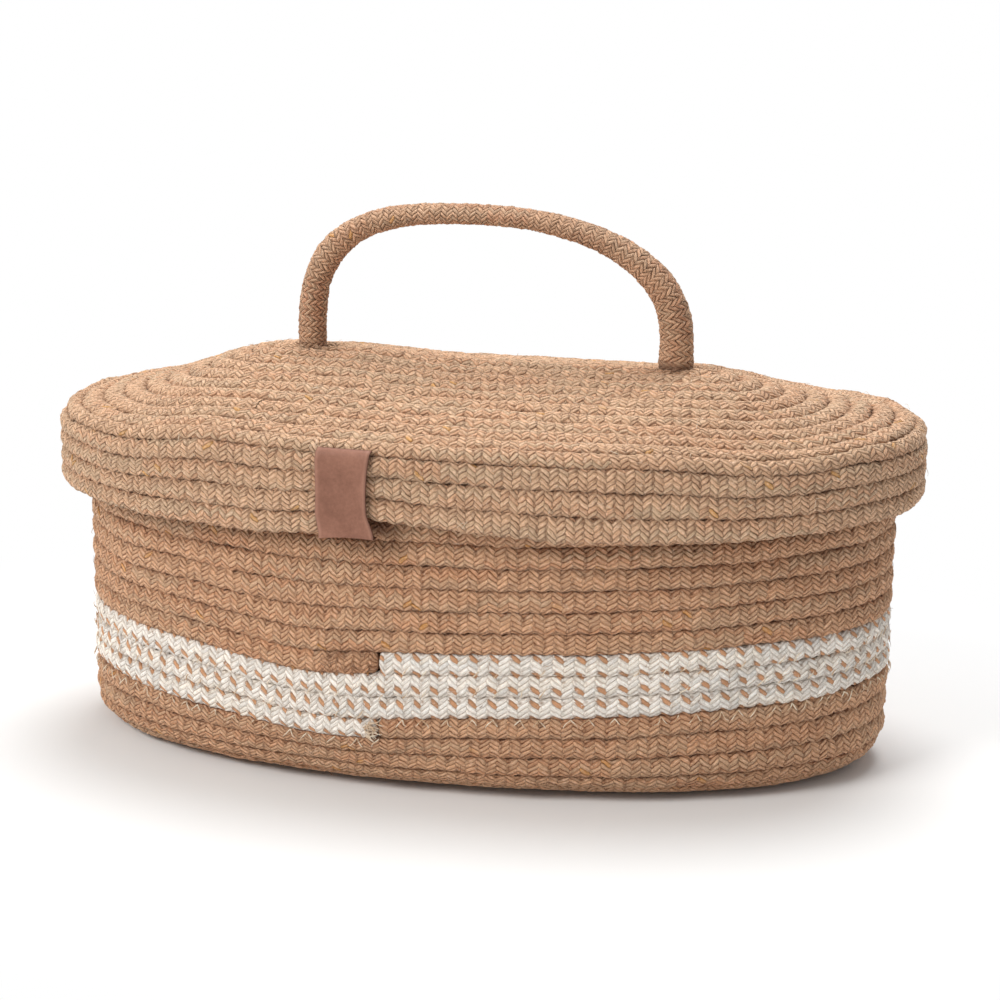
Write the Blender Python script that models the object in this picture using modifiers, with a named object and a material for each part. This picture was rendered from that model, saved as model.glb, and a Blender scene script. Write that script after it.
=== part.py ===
"""Knitting basket of coiled braided rope, with a lift-off lid, a rope handle and a leather tag.

Metres, +Z up. The origin is the middle of the underside, +X runs along the long side,
and the leather tag is on the front, at -Y.
"""
import math

import bmesh
import bpy
import numpy as np
from mathutils import Vector

# The braided rope and how its rows lie
ROPE_THICKNESS = 0.0065
GROOVE_DEPTH = 0.0013
WALL_PITCH = 0.00915
LID_PITCH = 0.0095
CLEARANCE = 0.0003

# The basket: its plan, its base corner and the heights of its white band and its rim
BASKET_HALF_LENGTH = 0.1775
BASKET_HALF_WIDTH = 0.0875
BASE_CORNER_RADIUS = 0.011
BAND_FOOT_HEIGHT = 0.0309
RIM_HEIGHT = 0.1462
BAND_ROWS = 3

# The lid: its room round the wall, the round shoulder, the low crown and its lower edge
LID_END_ROOM = 0.0045
LID_SIDE_ROOM = 0.0035
LID_HALF_LENGTH = BASKET_HALF_LENGTH + LID_END_ROOM + ROPE_THICKNESS
LID_HALF_WIDTH = BASKET_HALF_WIDTH + LID_SIDE_ROOM + ROPE_THICKNESS
SHOULDER_RADIUS = 0.010
CROWN_RISE = 0.018
LID_EDGE_HEIGHT = 0.1080

# The rope handle: an arch that is flattened at its top, with round feet
HANDLE_HALF_SPAN = 0.0792
HANDLE_SHIFT = 0.0018
HANDLE_RISE = 0.0524
HANDLE_LEAN = 0.0106
FOOT_RADIUS = 0.0066
TOP_HALF_THICKNESS = 0.0041
TOP_HALF_ACROSS = 0.0075

# The handle's tails, which pass through the lid and lie along its underside
TAIL_BEND_RADIUS = 0.0085
TAIL_RUN = 0.0260
TAIL_HALF_THICKNESS = 0.0036
TAIL_HALF_ACROSS = 0.0078

# The leather tag, folded round the lid's lower edge
TAG_WIDTH = 0.0225
TAG_THICKNESS = 0.0016
TAG_OUTSIDE_LENGTH = 0.0400
TAG_INSIDE_LENGTH = 0.0170
TAG_FOLD_DEPTH = 0.0013
TAG_SLACK = 0.0008

# Shapes and directions that are no lengths
BASKET_OVAL_POWER = 2.0
LID_OVAL_POWER = 2.25
CROWN_POWER = 1.25
HANDLE_ARCH_POWER = 2.5
FOLD_POWER = 4.0
ROUNDING_POWER = 1.5
ROW_SHARES = (0.0, 0.28, 0.72)
FRONT_DRIFT_SHARE = 0.075
SIDE_DRIFT_SHARE = 0.036
DRIFT_POWER = 0.8
LEAST_START_SHARE = 0.4
SPLICE_ANGLE = math.radians(-99.3)
TAG_ANGLE = math.radians(-100.6)
CORE_ANGLE = math.radians(60)
SHARP_ANGLE = math.radians(40)
CLOCKWISE = -1
COUNTERCLOCKWISE = 1
TURN = 2 * math.pi
QUARTER = math.pi / 2

# Facets
STATIONS = 36
HANDLE_STEPS = 24
FOOT_STEPS = 4
SECTION_SIDES = 12
BEND_STEPS = 4
TAG_COLUMNS = 5
TAG_ROWS = 14
FOLD_STEPS = 6

HALF_GAP = CLEARANCE / 2
TINY_ANGLE = 0.001
TINY_RUN = WALL_PITCH * TINY_ANGLE

COLORS = {
    "base_rope": (0.52, 0.33, 0.19),
    "band_rope": (0.83, 0.78, 0.70),
    "upper_rope": (0.50, 0.31, 0.18),
    "lid_rope": (0.62, 0.42, 0.26),
    "handle_cord": (0.60, 0.40, 0.25),
    "handle_tail_left": (0.60, 0.40, 0.25),
    "handle_tail_right": (0.60, 0.40, 0.25),
    "leather_tag": (0.33, 0.15, 0.09),
}
ROPE_ROUGHNESS = 0.9
LEATHER_ROUGHNESS = 0.6


# Plans

def stadium(angle, distance, core):
    """A point at a distance from the core line, which is as long on each side as core."""
    wrapped = (angle + math.pi) % TURN - math.pi
    side = 1.0 if wrapped >= 0 else -1.0
    open_angle = abs(wrapped)
    if open_angle < CORE_ANGLE:
        heading = open_angle * QUARTER / CORE_ANGLE
    elif open_angle < math.pi - CORE_ANGLE:
        heading = QUARTER
    else:
        heading = QUARTER + (open_angle - math.pi + CORE_ANGLE) * QUARTER / CORE_ANGLE
    along = max(-1.0, min(1.0, math.cos(open_angle) / math.cos(CORE_ANGLE)))
    return core * along + distance * math.cos(heading), side * distance * math.sin(heading)


def power_oval(angle, half_length, half_width, power):
    """A point of an oval that is fuller than an ellipse where power is over 2."""
    across, up = math.cos(angle), math.sin(angle)
    x = half_length * math.copysign(abs(across) ** (2 / power), across)
    y = half_width * math.copysign(abs(up) ** (2 / power), up)
    return x, y


def row_plan(angle, distance, half_length, half_width, power):
    """A row's plan: a stadium round the core line, growing into the outer oval."""
    core = half_length - half_width
    grown = min(1.0, max(0.0, distance / half_width)) ** ROUNDING_POWER
    inner = stadium(angle, distance, core)
    outer = power_oval(angle, core + distance, distance, power)
    return tuple(a + grown * (b - a) for a, b in zip(inner, outer))


# The basket's and the lid's outer surfaces, by angle and by run from the core line

def basket_profile(run):
    """Distance from the core line and height, across the base, its corner and the wall."""
    flat = BASKET_HALF_WIDTH - BASE_CORNER_RADIUS
    corner = BASE_CORNER_RADIUS * QUARTER
    if run <= flat:
        return run, 0.0
    if run <= flat + corner:
        bend = (run - flat) / BASE_CORNER_RADIUS
        return (flat + BASE_CORNER_RADIUS * math.sin(bend),
                BASE_CORNER_RADIUS * (1 - math.cos(bend)))
    return BASKET_HALF_WIDTH, BASE_CORNER_RADIUS + run - flat - corner


def basket_run(height):
    """The run at which the wall reaches a height."""
    flat = BASKET_HALF_WIDTH - BASE_CORNER_RADIUS
    return flat + BASE_CORNER_RADIUS * QUARTER + height - BASE_CORNER_RADIUS


def basket_point(angle, run):
    """The basket's outer surface, whose rows sink to the front and rise to the right."""
    distance, height = basket_profile(run)
    x, y = row_plan(angle, distance, BASKET_HALF_LENGTH, BASKET_HALF_WIDTH, BASKET_OVAL_POWER)
    share = min(1.0, height / RIM_HEIGHT)
    drift = math.sin(math.pi * share) ** DRIFT_POWER if 0 < share < 1 else 0.0
    height += drift * (SIDE_DRIFT_SHARE * x + FRONT_DRIFT_SHARE * y)
    return np.array((x, y, height))


def lid_flat():
    return LID_HALF_WIDTH - SHOULDER_RADIUS


def crown_run():
    """The run from the core line over the crown to the shoulder."""
    return math.hypot(lid_flat(), CROWN_RISE)


def crown_rise(share):
    """How far the crown stands above the shoulder, a share of the way out to it."""
    return CROWN_RISE * (1 - min(1.0, max(0.0, share)) ** CROWN_POWER)


def lid_profile(run):
    """Distance from the core line and height, over the crown, the shoulder and the skirt."""
    crown = crown_run()
    shoulder = SHOULDER_RADIUS * QUARTER
    if run <= crown:
        share = run / crown
        return share * lid_flat(), SHOULDER_HEIGHT + crown_rise(share)
    if run <= crown + shoulder:
        bend = (run - crown) / SHOULDER_RADIUS
        return (lid_flat() + SHOULDER_RADIUS * math.sin(bend),
                SHOULDER_HEIGHT - SHOULDER_RADIUS * (1 - math.cos(bend)))
    return LID_HALF_WIDTH, SHOULDER_HEIGHT - SHOULDER_RADIUS - (run - crown - shoulder)


def lid_run(height):
    """The run at which the skirt comes down to a height."""
    skirt = SHOULDER_HEIGHT - SHOULDER_RADIUS - height
    return crown_run() + SHOULDER_RADIUS * QUARTER + skirt


def lid_point(angle, run):
    distance, height = lid_profile(run)
    x, y = row_plan(angle, distance, LID_HALF_LENGTH, LID_HALF_WIDTH, LID_OVAL_POWER)
    return np.array((x, y, height))


def surface_frame(surface, angle, run, outward):
    """A point of a surface, its unit normal and the metres that one radian covers there."""
    point = surface(angle, run)
    along = (surface(angle + TINY_ANGLE, run) - surface(angle - TINY_ANGLE, run)) / (2 * TINY_ANGLE)
    across = surface(angle, run + TINY_RUN) - surface(angle, run - TINY_RUN)
    normal = np.cross(along, across)
    normal = outward * normal / np.linalg.norm(normal)
    return point, normal, float(np.linalg.norm(along))


# How many rows the two coils have

BAND_RUN = basket_run(BAND_FOOT_HEIGHT)
BASE_ROWS = int(BAND_RUN / WALL_PITCH - LEAST_START_SHARE)
BASKET_START_RUN = BAND_RUN - BASE_ROWS * WALL_PITCH
BAND_END_ROW = BASE_ROWS + BAND_ROWS
WALL_ROWS_SHARE = (basket_run(RIM_HEIGHT) - BASKET_START_RUN) / WALL_PITCH - 1
RIM_STATION = round(WALL_ROWS_SHARE * STATIONS)
RIM_TOP_RUN = BASKET_START_RUN + WALL_PITCH * (RIM_STATION / STATIONS + 1)
RIM_TOP = basket_profile(RIM_TOP_RUN)[1]

SEAT_DISTANCE = BASKET_HALF_WIDTH - ROPE_THICKNESS / 2
SHOULDER_HEIGHT = RIM_TOP + CLEARANCE + ROPE_THICKNESS - crown_rise(SEAT_DISTANCE / lid_flat())
LID_EDGE_RUN = lid_run(LID_EDGE_HEIGHT)
LID_END_STATION = int((LID_EDGE_RUN / LID_PITCH - 1 - LEAST_START_SHARE) * STATIONS)
LID_START_RUN = LID_EDGE_RUN - LID_PITCH * (LID_END_STATION / STATIONS + 1)
LID_START_ANGLE = TAG_ANGLE - COUNTERCLOCKWISE * TURN * LID_END_STATION / STATIONS

LID_TOP = SHOULDER_HEIGHT + CROWN_RISE
PIVOT_HEIGHT = LID_TOP + CLEARANCE + FOOT_RADIUS


# Objects

def clear_scene():
    for item in list(bpy.data.objects):
        bpy.data.objects.remove(item, do_unlink=True)


def make_collection(name):
    group = bpy.data.collections.new(name)
    bpy.context.scene.collection.children.link(group)
    return group


def make_material(name, color, roughness):
    material = bpy.data.materials.new(name)
    material.use_nodes = True
    shader = material.node_tree.nodes["Principled BSDF"]
    shader.inputs["Base Color"].default_value = (*color, 1.0)
    shader.inputs["Roughness"].default_value = roughness
    shader.inputs["Metallic"].default_value = 0.0
    return material


def add_object(name, group, shape, origin=(0.0, 0.0, 0.0)):
    """An object from a bmesh in world places, with its own origin and material."""
    bmesh.ops.recalc_face_normals(shape, faces=shape.faces)
    bmesh.ops.translate(shape, verts=shape.verts, vec=-Vector(origin))
    mesh = bpy.data.meshes.new(name)
    shape.to_mesh(mesh)
    shape.free()
    mesh.shade_smooth()
    mesh.set_sharp_from_angle(angle=SHARP_ANGLE)
    item = bpy.data.objects.new(name, mesh)
    item.location = origin
    group.objects.link(item)
    if name in COLORS:
        roughness = LEATHER_ROUGHNESS if name == "leather_tag" else ROPE_ROUGHNESS
        mesh.materials.append(make_material(name, COLORS[name], roughness))
    return item


# The wound rope

class Coil:
    """A rope that winds in rows over a surface. Places along it are counted in stations."""

    def __init__(self, surface, outward, way, start_angle, start_run, pitch):
        self.surface = surface
        self.outward = outward
        self.way = way
        self.start_angle = start_angle
        self.start_run = start_run
        self.pitch = pitch

    def place(self, station, share, depth, slip=0.0, lift=0.0):
        """A point a share of the way across the row, moved along by slip and across by lift."""
        turns = station / STATIONS
        angle = self.start_angle + self.way * TURN * turns
        run = self.start_run + self.pitch * (turns + share) + lift
        metres = surface_frame(self.surface, angle, run, self.outward)[2]
        angle += self.way * slip / metres
        point, normal, metres = surface_frame(self.surface, angle, run, self.outward)
        return point - normal * depth

    def wind(self, first, last, from_middle=False):
        """The closed solid of the rope from one station to another."""
        shape = bmesh.new()

        def vertex(station, share, depth):
            slip = lift = 0.0
            on_row_edge = share == 0
            if not from_middle:
                if on_row_edge and station <= first + STATIONS:
                    lift = HALF_GAP
                if station == first or (on_row_edge and station == first + STATIONS):
                    slip = HALF_GAP
            if on_row_edge and station >= last:
                lift = -HALF_GAP
            if station == last or (on_row_edge and station == last + STATIONS):
                slip = -HALF_GAP
            return shape.verts.new(self.place(station, share, depth, slip, lift))

        rows = range(first, last + STATIONS + 1)
        outer = {n: vertex(n, 0, GROOVE_DEPTH) for n in rows}
        inner = {n: vertex(n, 0, ROPE_THICKNESS) for n in rows}
        crests = {n: [vertex(n, share, 0.0) for share in ROW_SHARES[1:]]
                  for n in range(first, last + 1)}

        def across(station):
            return [outer[station], *crests[station], outer[station + STATIONS]]

        for n in range(first, last):
            here, ahead = across(n), across(n + 1)
            for a, b, c, d in zip(here, ahead, ahead[1:], here[1:]):
                shape.faces.new((a, b, c, d))
            shape.faces.new((inner[n], inner[n + STATIONS], inner[n + 1 + STATIONS], inner[n + 1]))
        for n in range(last, last + STATIONS):
            shape.faces.new((outer[n], outer[n + 1], inner[n + 1], inner[n]))
        shape.faces.new((*reversed(across(last)), inner[last], inner[last + STATIONS]))
        middle = range(first, first + STATIONS)
        if from_middle:
            start = across(first)
            shape.faces.new((*(outer[n] for n in middle), *reversed(start[1:])))
            shape.faces.new((*(inner[n] for n in middle), inner[first + STATIONS]))
        else:
            for n in middle:
                shape.faces.new((outer[n], inner[n], inner[n + 1], outer[n + 1]))
            shape.faces.new((*across(first), inner[first + STATIONS], inner[first]))
        return shape


def basket_coil():
    return Coil(basket_point, 1, CLOCKWISE, SPLICE_ANGLE, BASKET_START_RUN, WALL_PITCH)


def lid_coil():
    return Coil(lid_point, -1, COUNTERCLOCKWISE, LID_START_ANGLE, LID_START_RUN, LID_PITCH)


def make_basket(group):
    """The base and lower wall, the white band and the upper wall: one coil, three ropes."""
    coil = basket_coil()
    band_start = BASE_ROWS * STATIONS
    band_end = BAND_END_ROW * STATIONS
    add_object("base_rope", group, coil.wind(0, band_start, from_middle=True))
    add_object("band_rope", group, coil.wind(band_start, band_end))
    add_object("upper_rope", group, coil.wind(band_end, RIM_STATION))


# The handle and its tails

def loft(rings):
    """A closed solid through rings of as many points each, with flat ends."""
    shape = bmesh.new()
    loops = [[shape.verts.new(point) for point in ring] for ring in rings]
    for here, ahead in zip(loops, loops[1:]):
        for i, vertex in enumerate(here):
            j = (i + 1) % len(here)
            shape.faces.new((vertex, here[j], ahead[j], ahead[i]))
    shape.faces.new(reversed(loops[0]))
    shape.faces.new(loops[-1])
    return shape


def oval_ring(centre, tangent, half_thickness, half_across):
    """A ring round a path that lies in the plane of X and Z."""
    sideways = Vector((0.0, 1.0, 0.0))
    inward = sideways.cross(tangent).normalized()
    ring = []
    for i in range(SECTION_SIDES):
        turn = TURN * (i + 0.5) / SECTION_SIDES
        ring.append(centre + inward * (half_thickness * math.cos(turn))
                    + sideways * (half_across * math.sin(turn)))
    return ring


def mixed(low, high, share):
    return low + (high - low) * share


def foot_place(side):
    return HANDLE_SHIFT + side * HANDLE_HALF_SPAN


def handle_centre(sweep):
    """The arch's centre line, from the right foot at 0 to the left foot at half a turn."""
    across, up = math.cos(sweep), max(0.0, math.sin(sweep))
    bow = math.copysign(abs(across) ** (2 / HANDLE_ARCH_POWER), across)
    x = HANDLE_SHIFT + HANDLE_HALF_SPAN * bow - HANDLE_LEAN * up * up
    return Vector((x, 0.0, PIVOT_HEIGHT + HANDLE_RISE * up ** (2 / HANDLE_ARCH_POWER)))


def foot_rings(side):
    """The rings of a round foot under the pivot, from its lowest to its widest."""
    rings = []
    for i in range(1, FOOT_STEPS + 1):
        dip = QUARTER * (1 - (i - 0.5) / FOOT_STEPS)
        centre = Vector((foot_place(side), 0.0, PIVOT_HEIGHT - FOOT_RADIUS * math.sin(dip)))
        radius = FOOT_RADIUS * math.cos(dip)
        rings.append(oval_ring(centre, Vector((0.0, 0.0, side)), radius, radius))
    return rings


def make_handle(group):
    rings = foot_rings(1)
    for i in range(HANDLE_STEPS + 1):
        sweep = math.pi * i / HANDLE_STEPS
        ahead = handle_centre(min(math.pi, sweep + TINY_ANGLE))
        behind = handle_centre(max(0.0, sweep - TINY_ANGLE))
        flat = math.sin(sweep) if 0 < i < HANDLE_STEPS else 0.0
        tangent = ahead - behind if flat else Vector((0.0, 0.0, 1.0 if i == 0 else -1.0))
        rings.append(oval_ring(handle_centre(sweep), tangent,
                               mixed(FOOT_RADIUS, TOP_HALF_THICKNESS, flat),
                               mixed(FOOT_RADIUS, TOP_HALF_ACROSS, flat)))
    rings.extend(reversed(foot_rings(-1)))
    add_object("handle_cord", group, loft(rings), origin=(0.0, 0.0, PIVOT_HEIGHT))


def tail_path(side):
    """Centre, direction and flatness down through the lid, round the bend and inwards."""
    foot_x = foot_place(side)
    under = lid_profile(TAIL_HALF_ACROSS)[1] - ROPE_THICKNESS
    run_height = under - CLEARANCE - TAIL_HALF_THICKNESS
    bend_top = run_height + TAIL_BEND_RADIUS
    path = [(Vector((foot_x, 0.0, LID_TOP)), Vector((0.0, 0.0, -1.0)), 0.0)]
    if bend_top < LID_TOP:
        path.append((Vector((foot_x, 0.0, bend_top)), Vector((0.0, 0.0, -1.0)), 0.0))
    for i in range(1, BEND_STEPS + 1):
        bend = QUARTER * i / BEND_STEPS
        centre = Vector((foot_x - side * TAIL_BEND_RADIUS * (1 - math.cos(bend)), 0.0,
                         bend_top - TAIL_BEND_RADIUS * math.sin(bend)))
        heading = Vector((-side * math.sin(bend), 0.0, -math.cos(bend)))
        path.append((centre, heading, i / BEND_STEPS))
    end = Vector((foot_x - side * (TAIL_BEND_RADIUS + TAIL_RUN), 0.0, run_height))
    path.append((end, Vector((-side, 0.0, 0.0)), 1.0))
    return path


def tail_solid(side, margin):
    """A tail, or with a margin the hole that it needs."""
    rings = []
    for centre, heading, flat in tail_path(side):
        rings.append(oval_ring(centre, heading,
                               mixed(FOOT_RADIUS, TAIL_HALF_THICKNESS, flat) + margin,
                               mixed(FOOT_RADIUS, TAIL_HALF_ACROSS, flat) + margin))
    return rings


def make_tails(group, cutters, lid):
    """The two tails, and the holes for them in the lid."""
    for side, name in ((-1, "handle_tail_left"), (1, "handle_tail_right")):
        add_object(name, group, loft(tail_solid(side, 0.0)))
        down = Vector((0.0, 0.0, -1.0))
        foot_x = foot_place(side)
        hole = tail_solid(side, CLEARANCE)
        top = Vector((foot_x, 0.0, PIVOT_HEIGHT))
        radius = FOOT_RADIUS + CLEARANCE
        hole[0] = oval_ring(top, down, radius, radius)
        cutter = add_object(name + "_hole", cutters, loft(hole))
        cutter.hide_render = True
        cutter.display_type = "WIRE"
        cut = lid.modifiers.new(name + "_hole", "BOOLEAN")
        cut.operation = "DIFFERENCE"
        cut.solver = "EXACT"
        cut.object = cutter


# The tag

def tag_line():
    """Runs and depths down the outside, round the lid's edge and up the inside."""
    outside = -(CLEARANCE + TAG_THICKNESS / 2)
    inside = ROPE_THICKNESS + TAG_SLACK + TAG_THICKNESS / 2
    line = []
    for i in range(TAG_ROWS):
        line.append((LID_EDGE_RUN - TAG_OUTSIDE_LENGTH * (1 - i / TAG_ROWS), outside))
    for i in range(FOLD_STEPS + 1):
        turn = math.pi * i / FOLD_STEPS
        depth = mixed(outside, inside, (1 - math.cos(turn)) / 2)
        drop = max(0.0, math.sin(turn)) ** (1 / FOLD_POWER)
        line.append((LID_EDGE_RUN + TAG_FOLD_DEPTH * drop, depth))
    line.append((LID_EDGE_RUN - TAG_INSIDE_LENGTH, inside))
    return line


def make_tag(group):
    shape = bmesh.new()
    metres = surface_frame(lid_point, TAG_ANGLE, LID_EDGE_RUN, -1)[2]
    columns = []
    for i in range(TAG_COLUMNS):
        aside = TAG_WIDTH * (i / (TAG_COLUMNS - 1) - 0.5)
        angle = TAG_ANGLE + aside / metres
        column = []
        for run, depth in tag_line():
            point, normal, _ = surface_frame(lid_point, angle, run, -1)
            column.append(shape.verts.new(point - normal * depth))
        columns.append(column)
    for left, right in zip(columns, columns[1:]):
        for i in range(len(left) - 1):
            shape.faces.new((left[i], left[i + 1], right[i + 1], right[i]))
    tag = add_object("leather_tag", group, shape)
    wall = tag.modifiers.new("thickness", "SOLIDIFY")
    wall.thickness = TAG_THICKNESS
    wall.offset = 0.0


def main():
    clear_scene()
    group = make_collection("knitting_basket")
    cutters = make_collection("cutters")
    make_basket(group)
    lid = add_object("lid_rope", group, lid_coil().wind(0, LID_END_STATION, from_middle=True))
    make_tails(group, cutters, lid)
    make_handle(group)
    make_tag(group)


main()
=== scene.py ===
"""Looks of the knitting basket: braided rope, white band, leather tag and rope handle."""
import math

import bpy
import numpy as np
from mathutils import Matrix, Vector


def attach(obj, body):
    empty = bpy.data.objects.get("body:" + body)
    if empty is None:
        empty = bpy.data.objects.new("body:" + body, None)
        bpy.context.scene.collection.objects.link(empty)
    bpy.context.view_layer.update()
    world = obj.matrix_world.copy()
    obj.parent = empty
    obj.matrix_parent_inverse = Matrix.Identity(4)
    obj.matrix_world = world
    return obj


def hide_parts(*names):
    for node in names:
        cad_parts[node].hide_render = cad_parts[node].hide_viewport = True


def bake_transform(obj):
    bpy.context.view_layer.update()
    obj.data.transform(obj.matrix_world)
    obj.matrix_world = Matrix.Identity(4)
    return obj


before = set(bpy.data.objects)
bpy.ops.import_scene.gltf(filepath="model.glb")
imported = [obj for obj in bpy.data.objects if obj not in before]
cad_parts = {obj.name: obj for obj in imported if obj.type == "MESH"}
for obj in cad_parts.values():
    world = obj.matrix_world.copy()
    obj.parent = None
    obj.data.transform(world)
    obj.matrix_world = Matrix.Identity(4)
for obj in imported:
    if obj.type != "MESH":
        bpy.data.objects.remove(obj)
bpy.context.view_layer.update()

TURN = 2 * math.pi
QUARTER = math.pi / 2
MM = 0.001

# The basket, as in the CAD model
ROPE_THICKNESS = 6.5 * MM
WALL_PITCH = 9.15 * MM
LID_PITCH = 9.5 * MM
CLEARANCE = 0.3 * MM
BASKET_HALF_LENGTH = 177.5 * MM
BASKET_HALF_WIDTH = 87.5 * MM
BASE_CORNER_RADIUS = 15.5 * MM
BAND_FOOT_HEIGHT = 30.9 * MM
RIM_HEIGHT = 146.2 * MM
BAND_ROWS = 3
LID_HALF_LENGTH = 188.5 * MM
LID_HALF_WIDTH = 97.5 * MM
SHOULDER_RADIUS = 10 * MM
CROWN_RISE = 18 * MM
LID_EDGE_HEIGHT = 108 * MM
HANDLE_HALF_SPAN = 79.2 * MM
HANDLE_SHIFT = 1.8 * MM
HANDLE_RISE = 52.4 * MM
HANDLE_LEAN = 10.6 * MM
FOOT_RADIUS = 6.6 * MM
TOP_HALF_THICKNESS = 4.1 * MM
TOP_HALF_ACROSS = 7.5 * MM
TAIL_BEND_RADIUS = 8.5 * MM
TAIL_RUN = 26 * MM
TAIL_HALF_THICKNESS = 3.6 * MM
TAIL_HALF_ACROSS = 7.8 * MM
TAG_WIDTH = 22.5 * MM
TAG_THICKNESS = 1.6 * MM
TAG_OUTSIDE_LENGTH = 40 * MM
TAG_INSIDE_LENGTH = 17 * MM
TAG_FOLD_DEPTH = 1.3 * MM
TAG_SLACK = 0.8 * MM
BASKET_OVAL_POWER = 2.0
LID_OVAL_POWER = 2.25
CROWN_POWER = 1.25
HANDLE_ARCH_POWER = 2.5
FOLD_POWER = 4.0
ROUNDING_POWER = 1.5
FRONT_DRIFT_SHARE = 0.075
SIDE_DRIFT_SHARE = 0.036
DRIFT_POWER = 0.8
BASE_START_SHARE = 0.2
LID_START_SHARE = 0.4
SPLICE_ANGLE = math.radians(-99.3)
TAG_ANGLE = math.radians(-100.6)
CORE_ANGLE = math.radians(60)
STATIONS = 36

# How finely the rope is modelled
FINE_STEP = 0.62 * MM
HIDDEN_STEP = 0.7 * MM
FLOOR_STEP = 1.4 * MM
INNER_STEP = 1.3 * MM
OUTER_RING = 29
INNER_RING = 9
SMALL_ANGLE = 0.001
SMALL_RUN = 0.1 * MM
MIDDLE_RUN = 8 * MM

# How far the soft walls have settled, up (+) or down (-), as the photograph shows
BASE_EDGE_LIFT = 1.4 * MM
BASE_EDGE_START = 52 * MM
BASE_EDGE_END = 74 * MM
SETTLED_HEIGHTS = (0, 14 * MM, 34 * MM, 62.5 * MM, 110 * MM, RIM_HEIGHT)
LEFT_END_SAG = 6.0 * MM
RIGHT_END_SAG = 2.6 * MM
TAG_LIFT = 4.0 * MM
RIDGE_PLACES =(-110 * MM, -80 * MM, -55 * MM, -20 * MM, 70 * MM, 110 * MM)
RIDGE_RISES = (0, 1.2 * MM, 0.8 * MM, -2.2 * MM, -2.0 * MM, 0)

# The camera of the photograph
CAMERA_EYE = (0.1863, -1.0117, 0.3749)
CAMERA_AZIMUTH = math.radians(10.07)
CAMERA_ELEVATION = math.radians(15.89)
CAMERA_ROLL = math.radians(0.92)
CAMERA_LENS_SHARE = 2.4355
CAMERA_SHIFT = 0.051
SENSOR = 36.0


def linear(*color):
    """A colour as seen on a screen, 0 to 255, in the values that a shader takes."""
    scaled = [c / 255 for c in color]
    return tuple(c / 12.92 if c <= 0.04045 else ((c + 0.055) / 1.055) ** 2.4 for c in scaled)


def smooth(low, high, value):
    """A smooth rise from 0 at low to 1 at high."""
    t = np.clip((value - low) / (high - low), 0, 1)
    return t * t * (3 - 2 * t)


def wander(distance, length, seed):
    """A slow, repeatable wandering between about -1 and 1 along a distance."""
    rng = np.random.default_rng(seed)
    total = 0
    for weight in (1.0, 0.6, 0.45, 0.3):
        total = total + weight * np.sin(TURN * distance / (length * rng.uniform(0.5, 1.6))
                                        + rng.uniform(0, TURN))
    return total / 1.6


def scattered(i, j, seed):
    """A repeatable value between 0 and 1 for each pair of whole numbers."""
    mixed = np.sin(i * 12.9898 + j * 78.233 + seed * 37.719) * 43758.5453
    return mixed - np.floor(mixed)


def grain_of(shape, seed):
    """Fine unevenness between about -1 and 1 for a grid of points, softened to its neighbours."""
    rough = np.random.default_rng(seed + 50).normal(0.0, 1.0, shape)
    for axis in (0, 1):
        rough = rough + 0.5 * (np.roll(rough, 1, axis) + np.roll(rough, -1, axis))
    return rough / 3


# Surfaces that the ropes lie on

def stadium(angle, distance, core):
    wrapped = (angle + math.pi) % TURN - math.pi
    side = np.where(wrapped >= 0, 1.0, -1.0)
    opened = np.abs(wrapped)
    near = opened * QUARTER / CORE_ANGLE
    far = QUARTER + (opened - math.pi + CORE_ANGLE) * QUARTER / CORE_ANGLE
    heading = np.where(opened < CORE_ANGLE, near, np.where(opened < math.pi - CORE_ANGLE, QUARTER, far))
    along = np.clip(np.cos(opened) / math.cos(CORE_ANGLE), -1, 1)
    return core * along + distance * np.cos(heading), side * distance * np.sin(heading)


def power_oval(angle, half_length, half_width, power):
    across, up = np.cos(angle), np.sin(angle)
    return (half_length * np.sign(across) * np.abs(across) ** (2 / power),
            half_width * np.sign(up) * np.abs(up) ** (2 / power))


def row_plan(angle, distance, half_length, half_width, power):
    core = half_length - half_width
    grown = np.clip(distance / half_width, 0, 1) ** ROUNDING_POWER
    inner = stadium(angle, distance, core)
    outer = power_oval(angle, core + distance, distance, power)
    return tuple(a + grown * (b - a) for a, b in zip(inner, outer))


def basket_profile(run):
    flat = BASKET_HALF_WIDTH - BASE_CORNER_RADIUS
    bend = np.clip((run - flat) / BASE_CORNER_RADIUS, 0, QUARTER)
    distance = np.minimum(run, flat) + BASE_CORNER_RADIUS * np.sin(bend)
    height = BASE_CORNER_RADIUS * (1 - np.cos(bend))
    height += np.maximum(0, run - flat - BASE_CORNER_RADIUS * QUARTER)
    return distance, height


def basket_run(height):
    flat = BASKET_HALF_WIDTH - BASE_CORNER_RADIUS
    return flat + BASE_CORNER_RADIUS * QUARTER + height - BASE_CORNER_RADIUS


def front_degrees(angle):
    """The angle in degrees from -180 to 180: 0 is the right end and -90 the front."""
    return (np.degrees(angle) + 180) % 360 - 180


def hump(value, middle, width):
    return np.exp(-((value - middle) / width) ** 2)


def end_sag(x):
    """How far the rim and the lid have sunk at the basket's two ends."""
    right = smooth(85 * MM, 125 * MM, x) * smooth(170 * MM, 138 * MM, x)
    return -LEFT_END_SAG * smooth(-98 * MM, -148 * MM, x) - RIGHT_END_SAG * right


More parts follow.
